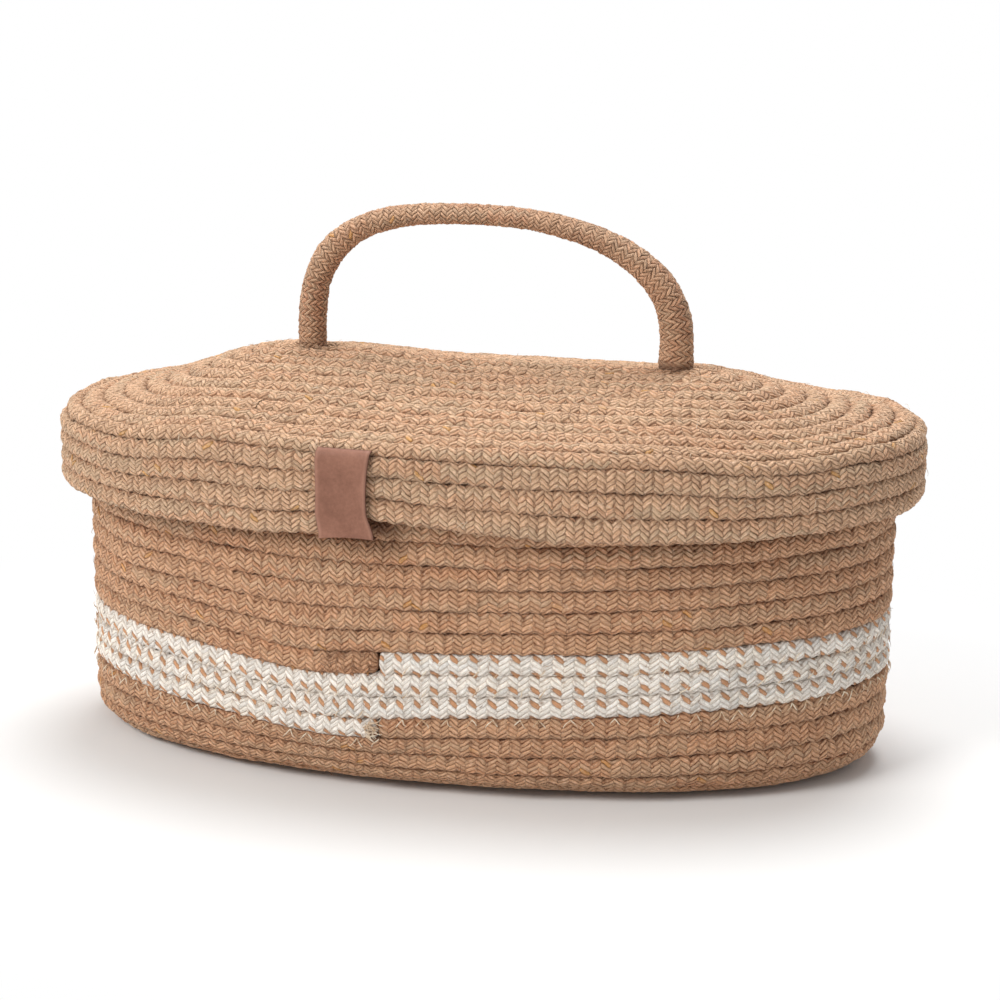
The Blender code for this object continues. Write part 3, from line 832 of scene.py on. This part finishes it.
def make_basket():
    hidden_base = Braid(11, WALL_ZIGZAG, WALL_STRAND, 0.45 * MM)
    wall = Braid(12, WALL_ZIGZAG, 2.1 * MM, 0.6 * MM, pit=1.2 * MM, stretch=wall_stretch)
    white = Braid(13, WALL_ZIGZAG, WALL_STRAND, 0.6 * MM, pit=0.4 * MM, stretch=wall_stretch,
                  turning=(FLECK_FIRST, FLECK_RATE))
    base_visible = 8.0
    rope_piece("base_floor_rope", "basket", ["base_rope"], BASKET_COIL, hidden_base, -1.1, base_visible,
               FLOOR_STEP, WALL_ROPE, "natural_rope", tapers=(3 * MM, 0), unevenness=0.4)
    rope_piece("base_wall_rope", "basket", ["base_rope"], BASKET_COIL, wall, base_visible, BASE_ROWS,
               FINE_STEP, WALL_ROPE, "natural_rope", tapers=(0, 2.2 * MM), pit_side=1,
               unevenness=0.9)
    rope_piece("white_band_rope", "basket", ["band_rope"], BASKET_COIL, white, BASE_ROWS, BAND_END_ROW,
               FINE_STEP, WHITE_ROPE, "white_rope", tapers=(2.2 * MM, 3.0 * MM), pit_side=1)
    middle = BAND_END_ROW + 4.3
    rope_piece("upper_wall_rope", "basket", ["upper_rope"], BASKET_COIL, wall, BAND_END_ROW, middle,
               FINE_STEP, WALL_ROPE, "natural_rope", tapers=(3.0 * MM, 0), pit_side=1,
               hollow=tag_hollow)
    rope_piece("rim_rope", "basket", ["upper_rope"], BASKET_COIL, wall, middle, RIM_TURNS,
               HIDDEN_STEP, WALL_ROPE, "natural_rope", tapers=(0, 22 * MM), pit_side=1,
               hollow=tag_hollow)


def lid_squeeze(turns, share, depth):
    """Makes room for the handle's feet between the two rows in the lid's middle."""
    angle = LID_COIL.start_angle + TURN * turns
    along = (LID_HALF_LENGTH - LID_HALF_WIDTH) * np.clip(np.cos(angle) / math.cos(CORE_ANGLE), -1, 1)
    front = np.sin(angle) < 0
    inner = LID_START_RUN + LID_PITCH * turns
    push = 0.0
    for side in (-1, 1):
        aside = (along - HANDLE_SHIFT - side * HANDLE_HALF_SPAN) * -side
        reach = np.where(aside > 0, 15 * MM, 8.5 * MM)
        near = np.clip(1 - (aside / reach) ** 2, 0, 1)
        need = (np.where(front, 5.2, 6.2) * MM * near - inner) * np.minimum(1, 4 * near)
        push = np.maximum(push, np.where(turns < 0.0, need / LID_PITCH, 0.0))
    push = np.maximum(push, -inner / LID_PITCH * smooth(-0.81, -0.86, turns))
    push = np.clip(push, 0, 0.9)
    keep = (turns < -0.1) & (push > 0)
    return np.where(keep, push + share * (1 - push), share), depth


def make_lid():
    crown = Braid(21, 7.3 * MM, 2.2 * MM, 0.6 * MM)
    skirt = Braid(22, 7.3 * MM, 2.2 * MM, 0.65 * MM, pit=0.6 * MM)
    middle, low = 6.2, 9.6
    rope_piece("lid_middle_rope", "lid", ["lid_rope"], LID_COIL, crown, -1.1, middle, 0.66 * MM,
               LID_ROPE, "natural_rope", tapers=(3 * MM, 0), squeeze=lid_squeeze, pit_side=1,
               outer=CROWN_OUTER)
    rope_piece("lid_shoulder_rope", "lid", ["lid_rope"], LID_COIL, crown, middle, low, FINE_STEP,
               LID_ROPE, "natural_rope", tapers=(0, 0), pit_side=1, outer=CROWN_OUTER)
    rope_piece("lid_skirt_rope", "lid", ["lid_rope"], LID_COIL, skirt, low, LID_TURNS, FINE_STEP,
               LID_ROPE, "natural_rope", tapers=(0, 4 * MM), pit_side=-1)


# Loose threads and fibres

def threads(name, body, starts, ways, lengths, thickness, lifts, seed, material):
    """Thin curled threads as one piece, each from a start point along a way, rising off the rope."""
    rng = np.random.default_rng(seed)
    steps, sides = 7, 4
    points, faces, first = [], [], 0
    for start, way, length, lift in zip(starts, ways, lengths, lifts):
        t = np.linspace(0, 1, steps)[:, None]
        bow = rng.normal(0, 0.16, 3) * length
        line = start + way * length * t + bow * np.sin(math.pi * t) * t + lift * 4 * t * (1 - 0.6 * t)
        tangent = np.gradient(line, axis=0)
        tangent /= np.linalg.norm(tangent, axis=1, keepdims=True)
        one = np.cross(tangent, (0.31, 0.22, 0.93))
        one /= np.linalg.norm(one, axis=1, keepdims=True)
        two = np.cross(tangent, one)
        radius = thickness / 2 * np.array([1, 1, 1, 1, 0.9, 0.7, 0.25])[:, None, None]
        turn = TURN * np.arange(sides) / sides
        around = one[:, None] * np.cos(turn)[:, None] + two[:, None] * np.sin(turn)[:, None]
        points.append((line[:, None] + radius * around).reshape(-1, 3))
        faces.append(grid_faces(steps, sides, first, closed=True))
        first += steps * sides
    piece = new_piece(name, np.concatenate(points), np.concatenate(faces), material)
    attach(piece, body)
    return piece


def on_rope(coil, turns, share, depth):
    """Points on a rope, and there the directions along it, across it and out of it."""
    turns, share = np.asarray(turns, float), np.asarray(share, float)
    here = coil.place(turns, share, np.zeros_like(turns) + depth)
    along = coil.place(turns + 1e-4, share, np.zeros_like(turns) + depth) - here
    across = coil.place(turns, share + 0.01, np.zeros_like(turns) + depth) - here
    out = coil.place(turns, share, np.zeros_like(turns) + depth - 1 * MM) - here
    return (here, *(v / np.linalg.norm(v, axis=-1, keepdims=True) for v in (along, across, out)))


def scatter(name, body, coil, places, count, seed, material, length=(2, 5), spread=1.0, lift=0.2):
    """Short fibres at random between two places, each (turns, share), but none under the tag."""
    rng = np.random.default_rng(seed)
    (first, low), (last, high) = places
    turns, shares = rng.uniform(first, last, count), rng.uniform(low, high, count)
    angle = coil.start_angle + coil.way * TURN * turns
    under = (coil is LID_COIL) & (np.abs(front_degrees(angle - TAG_ANGLE)) < 9) & (turns > LID_TURNS - 5)
    turns, shares = turns[~under], shares[~under]
    here, along, across, out = on_rope(coil, turns, shares, 0.25 * MM)
    count = len(turns)
    heading = rng.uniform(0, TURN, count)[:, None]
    ways = along * np.cos(heading) * spread + across * np.sin(heading)
    ways = ways + out * rng.uniform(0, 0.1, count)[:, None]
    ways /= np.linalg.norm(ways, axis=1, keepdims=True)
    lengths = rng.uniform(*length, count) * MM
    lifts = out * (rng.uniform(0.2, 1.0, count) * lift * MM)[:, None]
    return threads(name, body, here, ways, lengths, 0.18 * MM, lifts, seed, material)


def make_threads():
    """Pale stitches on the white band, frayed ends at its splices and stray fibres elsewhere."""
    starts, ways, lengths, lifts = [], [], [], []
    rng = np.random.default_rng(71)

    def stitch(turns, share, slope, reach, lift):
        here, along, across, out = on_rope(BASKET_COIL, [turns], [share], 0.15 * MM)
        way = along[0] * slope[0] + across[0] * slope[1]
        starts.append(here[0])
        ways.append(way / np.linalg.norm(way))
        lengths.append(reach * MM)
        lifts.append(out[0] * lift * MM)

    for i in range(112):
        at = BASE_ROWS + (i + rng.uniform(-0.2, 0.2)) / 112
        stitch(at, 0.02, (0.7, -0.8), rng.uniform(3.2, 6.0), 0.45)
        if rng.uniform() < 0.75:
            stitch(at, 0.01, (-0.65, -0.8), rng.uniform(2.6, 4.6), 0.45)
        if rng.uniform() < 0.5:
            stitch(at + 1, rng.uniform(0.0, 0.12), (-0.55, 0.8), rng.uniform(3, 6), 0.35)
        if rng.uniform() < 0.6:
            stitch(at + 2, rng.uniform(-0.1, 0.1), (-0.6, 0.8), rng.uniform(2.5, 5), 0.3)
    for i in range(34):
        way = (rng.normal(-0.7, 0.5), rng.normal(-0.2, 0.5))
        stitch(BASE_ROWS + rng.uniform(0.0005, 0.006), rng.uniform(0.1, 0.9), way, rng.uniform(2, 5), 0.5)
    threads("white_stitch_threads", "basket", starts, ways, lengths, 0.5 * MM, lifts, 72,
            STITCH_THREAD)
    scatter("splice_fibres", "basket", BASKET_COIL,
            ((BAND_END_ROW + 0.0004, 0.0), (BAND_END_ROW + 0.022, 1.0)), 90, 73, BROWN_THREAD,
            length=(2, 5), lift=0.7)
    scatter("basket_fibres", "basket", BASKET_COIL, ((BASE_ROWS - 3.2, 0.1), (BAND_END_ROW + 5.5, 0.9)),
            260, 74, BROWN_THREAD, spread=0.6)
    scatter("lid_fibres", "lid", LID_COIL, ((-0.5, 0.1), (LID_TURNS - 0.05, 0.9)), 260, 75,
            STITCH_THREAD, spread=0.6)


# The handle

def handle_centre(sweep):
    across, up = math.cos(sweep), max(0.0, math.sin(sweep))
    bow = math.copysign(abs(across) ** (2 / HANDLE_ARCH_POWER), across)
    x = HANDLE_SHIFT + HANDLE_HALF_SPAN * bow - HANDLE_LEAN * up * up
    return np.array((x, 0.0, PIVOT_HEIGHT + HANDLE_RISE * up ** (2 / HANDLE_ARCH_POWER)))


def tail_route(side):
    """Places and half sizes from a foot down through the lid and inwards under it."""
    foot = HANDLE_SHIFT + side * HANDLE_HALF_SPAN
    under = float(lid_profile(np.array(TAIL_HALF_ACROSS))[1]) - ROPE_THICKNESS
    low = under - CLEARANCE - TAIL_HALF_THICKNESS
    bend_top = low + TAIL_BEND_RADIUS
    route = []
    for i in range(1, 9):
        share = i / 8
        height = PIVOT_HEIGHT + (bend_top - PIVOT_HEIGHT) * share
        route.append(((foot, 0.0, height), FOOT_RADIUS, FOOT_RADIUS))
    for i in range(1, 11):
        bend = QUARTER * i / 10
        flat = i / 10
        route.append(((foot - side * TAIL_BEND_RADIUS * (1 - math.cos(bend)), 0.0,
                       bend_top - TAIL_BEND_RADIUS * math.sin(bend)),
                      FOOT_RADIUS + (TAIL_HALF_THICKNESS - FOOT_RADIUS) * flat,
                      FOOT_RADIUS + (TAIL_HALF_ACROSS - FOOT_RADIUS) * flat))
    for i in range(1, 9):
        route.append(((foot - side * (TAIL_BEND_RADIUS + TAIL_RUN * i / 8), 0.0, low),
                      TAIL_HALF_THICKNESS, TAIL_HALF_ACROSS))
    return route


HANDLE_RING = 84
HANDLE_STEP = 0.5 * MM
HANDLE_STRANDS = 14
HANDLE_ZIGZAG = 4.9 * MM
SWELL_SWEEPS = (0, 0.5, 1.2, QUARTER, 2.0, 2.4, 2.8, math.pi)
SWELL_SHARES = (1.08, 1.14, 1.0, 1.0, 1.08, 1.15, 1.0, 0.88)


def make_handle():
    route = [(p, a * SWELL_SHARES[0], b) for p, a, b in reversed(tail_route(1)[:8])]
    route = list(reversed(tail_route(1)[8:])) + route
    for i in range(121):
        sweep = math.pi * i / 120
        flat = math.sin(sweep)
        swell = float(np.interp(sweep, SWELL_SWEEPS, SWELL_SHARES))
        route.append((tuple(handle_centre(sweep)),
                      (FOOT_RADIUS + (TOP_HALF_THICKNESS - FOOT_RADIUS) * flat) * swell,
                      (FOOT_RADIUS + (TOP_HALF_ACROSS - FOOT_RADIUS) * flat)
                      * (1 + (SWELL_SHARES[-1] - 1) * max(0.0, sweep / 0.35 - 8) ** 2)))
    route += [(p, a * SWELL_SHARES[-1], b * SWELL_SHARES[-1]) for p, a, b in tail_route(-1)[:8]]
    route += tail_route(-1)[8:]
    centre =np.array([r[0] for r in route])
    thick = np.array([r[1] for r in route])
    broad = np.array([r[2] for r in route])
    metres = np.concatenate(([0.0], np.cumsum(np.linalg.norm(np.diff(centre, axis=0), axis=1))))
    count = int(metres[-1] / HANDLE_STEP)
    s = np.linspace(0, metres[-1], count)
    centre = np.stack([np.interp(s, metres, centre[:, k]) for k in range(3)], -1)
    thick, broad = np.interp(s, metres, thick), np.interp(s, metres, broad)
    window = np.hanning(19)
    window /= window.sum()

    def eased(values):
        padded = np.concatenate((values[:1].repeat(9, 0), values, values[-1:].repeat(9, 0)))
        return np.convolve(padded, window, "valid")

    inner_centre = np.stack([eased(centre[:, k]) for k in range(3)], -1)
    inner_centre[:9], inner_centre[-9:] = centre[:9], centre[-9:]
    centre = inner_centre
    tangent = np.gradient(centre, axis=0)
    tangent /= np.linalg.norm(tangent, axis=1, keepdims=True)
    side = np.array((0.0, 1.0, 0.0))
    inward = np.cross(side, tangent)
    centre = centre + side * (0.0009 * wander(s, 0.09, 31))[:, None]
    end = np.minimum(s, metres[-1] - s) / (3.2 * MM)
    scale = np.sqrt(np.maximum(0, 1 - (1 - np.clip(end, 0, 1)) ** 2))[:, None]
    girth = TURN * FOOT_RADIUS
    turn = TURN * np.arange(HANDLE_RING) / HANDLE_RING
    braid = Braid(33, HANDLE_ZIGZAG, girth / HANDLE_STRANDS, 0.65 * MM)
    column = braid.columns(s, s)
    w = turn / TURN * girth
    height, line = braid.relief_at(s[:, None], column[:, None], w[None])
    uneven = 1 + 0.025 * wander(s, 0.035, 34)[:, None]
    thick_at = (thick[:, None] * uneven + height) * scale
    broad_at = (broad[:, None] * uneven + height) * scale
    points = (centre[:, None] + inward[:, None] * (thick_at * np.cos(turn))[..., None]
              + side * (broad_at * np.sin(turn))[..., None])
    faces = grid_faces(count, HANDLE_RING, closed=True)
    piece = new_piece("braided_handle", points, faces, HANDLE_ROPE)
    values = np.stack((np.broadcast_to(column[:, None], line.shape), line), -1)
    corner = values.reshape(-1, 2)[faces].reshape(-1, HANDLE_RING, 4, 2).copy()
    corner[:, -1, 1:3, 1] += HANDLE_STRANDS
    add_uv(piece.data, "OFBake", handle_map(count))
    add_uv(piece.data, "Strand", corner.reshape(-1, 2))
    layer = piece.data.attributes.new("Marks", "FLOAT_COLOR", "POINT")
    # Painted shade on the handle from 3 mm above the lid's top downward, where it goes into the lid: the third
    # mark.
    low = smooth(LID_TOP + 3 * MM, LID_TOP - 2 * MM, points[..., 2])
    marks = np.stack((0 * low, 0 * low, 0.7 * low, np.ones_like(low)), -1)
    layer.data.foreach_set("color", marks.astype(np.float32).ravel())
    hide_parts("handle_cord", "handle_tail_left", "handle_tail_right")
    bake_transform(piece)
    return piece


def handle_map(count):
    strips = 3
    per_strip = math.ceil((count - 1) / strips)
    i = np.arange(count - 1)
    strip = i // per_strip
    left = 0.002 + (i - strip * per_strip) / per_strip * 0.996
    right = left + 0.996 / per_strip
    j = np.arange(HANDLE_RING) / HANDLE_RING
    low = (strip[:, None] + 0.02 + 0.96 * j[None]) / strips
    high = low + 0.96 / HANDLE_RING / strips
    left = np.broadcast_to(left[:, None], low.shape)
    right = np.broadcast_to(right[:, None], low.shape)
    corners = [(left, low), (left, high), (right, high), (right, low)]
    return np.stack([np.stack(c, -1) for c in corners], -2).reshape(-1, 2)


# The leather tag

def leather_material():
    material, tree, shader = shader_of("tag_leather", 0.55, 0.0, (1, 1, 1), 0.35)
    n = Nodes(tree)
    place = n.place()
    grain = n.add("ShaderNodeTexVoronoi", feature="DISTANCE_TO_EDGE")
    n.put(grain.inputs["Vector"], place)
    grain.inputs["Scale"].default_value = 1500.0
    pores = n.rise(grain.outputs["Distance"], 0.0, 0.12)
    cloud = n.noise(place, 60.0, 4, 0.6)
    fine = n.noise(place, 700.0, 4, 0.7)
    shade = n.math("ADD", n.math("MULTIPLY", cloud, 0.6), n.math("MULTIPLY", fine, 0.4))
    color = n.mix(n.rise(shade, 0.25, 0.75), linear(122, 80, 62), linear(158, 110, 90))
    marks = n.add("ShaderNodeAttribute", attribute_name="Marks")
    mark_parts = n.add("ShaderNodeSeparateColor")
    n.put(mark_parts.inputs[0], marks.outputs["Color"])
    color = n.mix(mark_parts.outputs[0], color, linear(82, 50, 36))
    # The Marks' second channel makes the strap paler along its long sides.
    color = n.mix(n.math("MULTIPLY", mark_parts.outputs[1], 0.5), color, linear(196, 146, 124))
    n.put(shader.inputs["Base Color"], color)
    bump = n.add("ShaderNodeBump")
    bump.inputs["Strength"].default_value = 0.35
    bump.inputs["Distance"].default_value = 0.12 * MM
    n.put(bump.inputs["Height"], n.math("ADD", n.math("MULTIPLY", pores, 0.5), fine))
    n.put(shader.inputs["Normal"], bump.outputs[0])
    return material


def make_tag():
    """The folded leather strap, with its cut edges, from its outside round the lid's edge."""
    outside = -(0.6 * MM + TAG_THICKNESS / 2)
    inside = ROPE_THICKNESS + TAG_SLACK + TAG_THICKNESS / 2
    line = []
    rows, folds, inner_rows = 60, 24, 18
    for i in range(rows):
        share = i / rows
        tuck = 1.6 * MM * (1 - share / 0.07) ** 2 if share < 0.07 else 0.0
        line.append((LID_EDGE_RUN - TAG_OUTSIDE_LENGTH * (1 - share), outside + tuck, share))
    for i in range(folds + 1):
        turn = math.pi * i / folds
        depth = outside + (inside - outside) * (1 - math.cos(turn)) / 2
        drop = max(0.0, math.sin(turn)) ** (1 / FOLD_POWER)
        line.append((LID_EDGE_RUN + TAG_FOLD_DEPTH * drop, depth, 1.0))
    for i in range(1, inner_rows + 1):
        line.append((LID_EDGE_RUN - TAG_INSIDE_LENGTH * i / inner_rows, inside, 1.0))
    run = np.array([p[0] for p in line])
    depth = np.array([p[1] for p in line])
    down = np.array([p[2] for p in line])
    across = 25
    aside = np.linspace(-0.5, 0.5, across)
    edge = LID_COIL.surface(np.array(TAG_ANGLE + SMALL_ANGLE), np.array(LID_EDGE_RUN))
    other = LID_COIL.surface(np.array(TAG_ANGLE - SMALL_ANGLE), np.array(LID_EDGE_RUN))
    metres = np.linalg.norm(edge - other) / (2 * SMALL_ANGLE)
    pinch = 1 - 0.08 * np.sin(math.pi * np.clip(down, 0, 1)) ** 1.2
    tucked = np.clip((np.arange(len(line)) - rows - folds / 2) / (folds / 2), 0, 1)
    shift = 0.9 * MM + 2.0 * MM * smooth(0.7, 1.0, down) + 0.3 * MM * smooth(0.3, 0.0, down)
    shift = shift - 5.0 * MM * tucked
    width = TAG_WIDTH * pinch * (1 - 0.12 * tucked)
    turn_aside = TAG_ANGLE + (aside[None] * width[:, None] + shift[:, None]) / metres
    slant = 2.4 * MM * (aside[None] + 0.2) * smooth(0.4, 1.0, down)[:, None] * (1 - tucked)[:, None]
    run_at = run[:, None] - slant
    cup = -0.7 * MM * (2 * np.abs(aside)) ** 3 * np.sin(math.pi * np.clip(down, 0, 1))[:, None]
    sheets = []
    for half in (-0.5, 0.5):
        level = depth[:, None] + half * TAG_THICKNESS + cup
        level = level + (0.25 * MM * -np.sign(half)) * (np.abs(aside)[None] > 0.49)
        sheets.append(LID_COIL.on_surface(turn_aside, run_at, level))
    outer, inner = sheets
    loop = np.concatenate((outer, (outer[:, -1:] + inner[:, -1:]) / 2, inner[:, ::-1],
                           (outer[:, :1] + inner[:, :1]) / 2), 1)
    columns = loop.shape[1]
    rows = len(line)
    faces = grid_faces(rows, columns, closed=True).tolist()
    points = loop.reshape(-1, 3)
    half = across
    caps = []
    for row in (0, rows - 1):
        base = row * columns
        for j in range(across - 1):
            quad = [base + j, base + j + 1, base + half + 1 + across - 2 - j, base + half + 1 + across - 1 - j]
            caps.append(quad if row else quad[::-1])
    piece = new_piece("leather_tag_strap", points, np.array(faces + caps), leather_material())
    edge_mark = np.zeros((rows, columns))
    edge_mark[:, [across, columns - 1]] = 1.0
    edge_mark[:, [across - 1, 0, across + 1, columns - 2]] = 0.55
    edge_mark[0] = edge_mark[-1] = 0.7
    # The outer face is paler along its two long sides.
    paler_sides = np.zeros((rows, columns))
    paler_sides[:, :across] = smooth(0.4, 0.49, np.abs(aside))[None] * 0.6
    marks = np.stack((edge_mark, paler_sides, 0 * paler_sides, np.ones_like(paler_sides)), -1)
    layer = piece.data.attributes.new("Marks", "FLOAT_COLOR", "POINT")
    layer.data.foreach_set("color", marks.astype(np.float32).ravel())
    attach(piece, "lid")
    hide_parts("leather_tag")
    return piece


# Camera, floor and light

def make_camera():
    az, el, roll = CAMERA_AZIMUTH, CAMERA_ELEVATION, CAMERA_ROLL
    back = Vector((math.sin(az) * math.cos(el), -math.cos(az) * math.cos(el), math.sin(el)))
    right = Vector((math.cos(az), math.sin(az), 0.0))
    up = back.cross(right)
    turned_right = math.cos(roll) * right + math.sin(roll) * up
    turned_up = -math.sin(roll) * right + math.cos(roll) * up
    data = bpy.data.cameras.new("photo_camera")
    data.sensor_width = SENSOR
    data.lens = SENSOR * CAMERA_LENS_SHARE
    data.shift_y = CAMERA_SHIFT
    data.clip_start, data.clip_end = 0.05, 50.0
    camera = bpy.data.objects.new("photo_camera", data)
    basis = Matrix((turned_right, turned_up, back)).transposed()
    camera.matrix_world = Matrix.Translation(CAMERA_EYE) @ basis.to_4x4()
    bpy.context.scene.collection.objects.link(camera)
    bpy.context.scene.camera = camera


def make_floor():
    side = 6.0
    points = [(-side, -side, 0), (side, -side, 0), (side, side, 0), (-side, side, 0)]
    material, tree, shader = shader_of("pale_floor", 0.9, specular=0.1)
    n = Nodes(tree)
    cloud = n.noise(n.place(), 3.0, 2)
    n.put(shader.inputs["Base Color"], n.mix(cloud, (0.86, 0.86, 0.86), (0.90, 0.90, 0.895)))
    floor = new_piece("floor", np.array(points), np.array([[0, 1, 2, 3]]), material, False)
    floor.location.z = -0.0006
    place = n.add("ShaderNodeSeparateXYZ")
    n.put(place.inputs[0], n.place())
    far = n.math("POWER", n.math("ADD", n.math("POWER", n.math("DIVIDE", place.outputs[0], 0.42), 2.0),
                                 n.math("POWER", n.math("DIVIDE", place.outputs[1], 0.30), 2.0)), 0.5)
    paper = n.rise(far, 0.45, 1.0)
    path = n.add("ShaderNodeLightPath")
    seen = n.math("MAXIMUM", path.outputs["Is Camera Ray"], path.outputs["Is Glossy Ray"])
    seen = n.math("MAXIMUM", seen, path.outputs["Is Transmission Ray"])
    glow = n.add("ShaderNodeEmission")
    glow.inputs["Strength"].default_value = 1.0
    blend = n.add("ShaderNodeMixShader")
    n.put(blend.inputs[0], n.math("MULTIPLY", seen, paper))
    n.put(blend.inputs[1], shader.outputs[0])
    n.put(blend.inputs[2], glow.outputs[0])
    n.put(tree.nodes["Material Output"].inputs["Surface"], blend.outputs[0])


def area_light(name, place, target, size, power, color=(1, 1, 1)):
    data = bpy.data.lights.new(name, "AREA")
    data.shape = "DISK"
    data.size, data.energy, data.color = size, power, color
    lamp = bpy.data.objects.new(name, data)
    lamp.location = place
    lamp.rotation_euler = (Vector(target) - Vector(place)).to_track_quat("-Z", "Y").to_euler()
    bpy.context.scene.collection.objects.link(lamp)


def make_light():
    area_light("key", (-1.3, -1.3, 1.5), (0, 0, 0.1), 1.1, 31.0, (1.0, 0.99, 0.97))
    area_light("above", (0.1, 0.5, 1.8), (0, 0, 0.1), 1.2, 27.0)
    world = bpy.data.worlds.new("studio")
    bpy.context.scene.world = world
    world.use_nodes = True
    tree = world.node_tree
    n = Nodes(tree)
    light = tree.nodes["Background"]
    light.inputs["Color"].default_value = (1, 1, 1, 1)
    light.inputs["Strength"].default_value = 0.41
    white = n.add("ShaderNodeBackground")
    white.inputs["Color"].default_value = (1, 1, 1, 1)
    white.inputs["Strength"].default_value = 1.0
    path = n.add("ShaderNodeLightPath")
    seen = n.math("MAXIMUM", path.outputs["Is Camera Ray"], path.outputs["Is Glossy Ray"])
    seen = n.math("MAXIMUM", seen, path.outputs["Is Transmission Ray"])
    blend = n.add("ShaderNodeMixShader")
    n.put(blend.inputs[0], seen)
    n.put(blend.inputs[1], light.outputs[0])
    n.put(blend.inputs[2], white.outputs[0])
    n.put(tree.nodes["World Output"].inputs["Surface"], blend.outputs[0])
    bpy.context.scene.view_settings.view_transform = "Standard"


make_camera()
make_floor()
make_light()
make_basket()
make_lid()
make_handle()
make_tag()
make_threads()
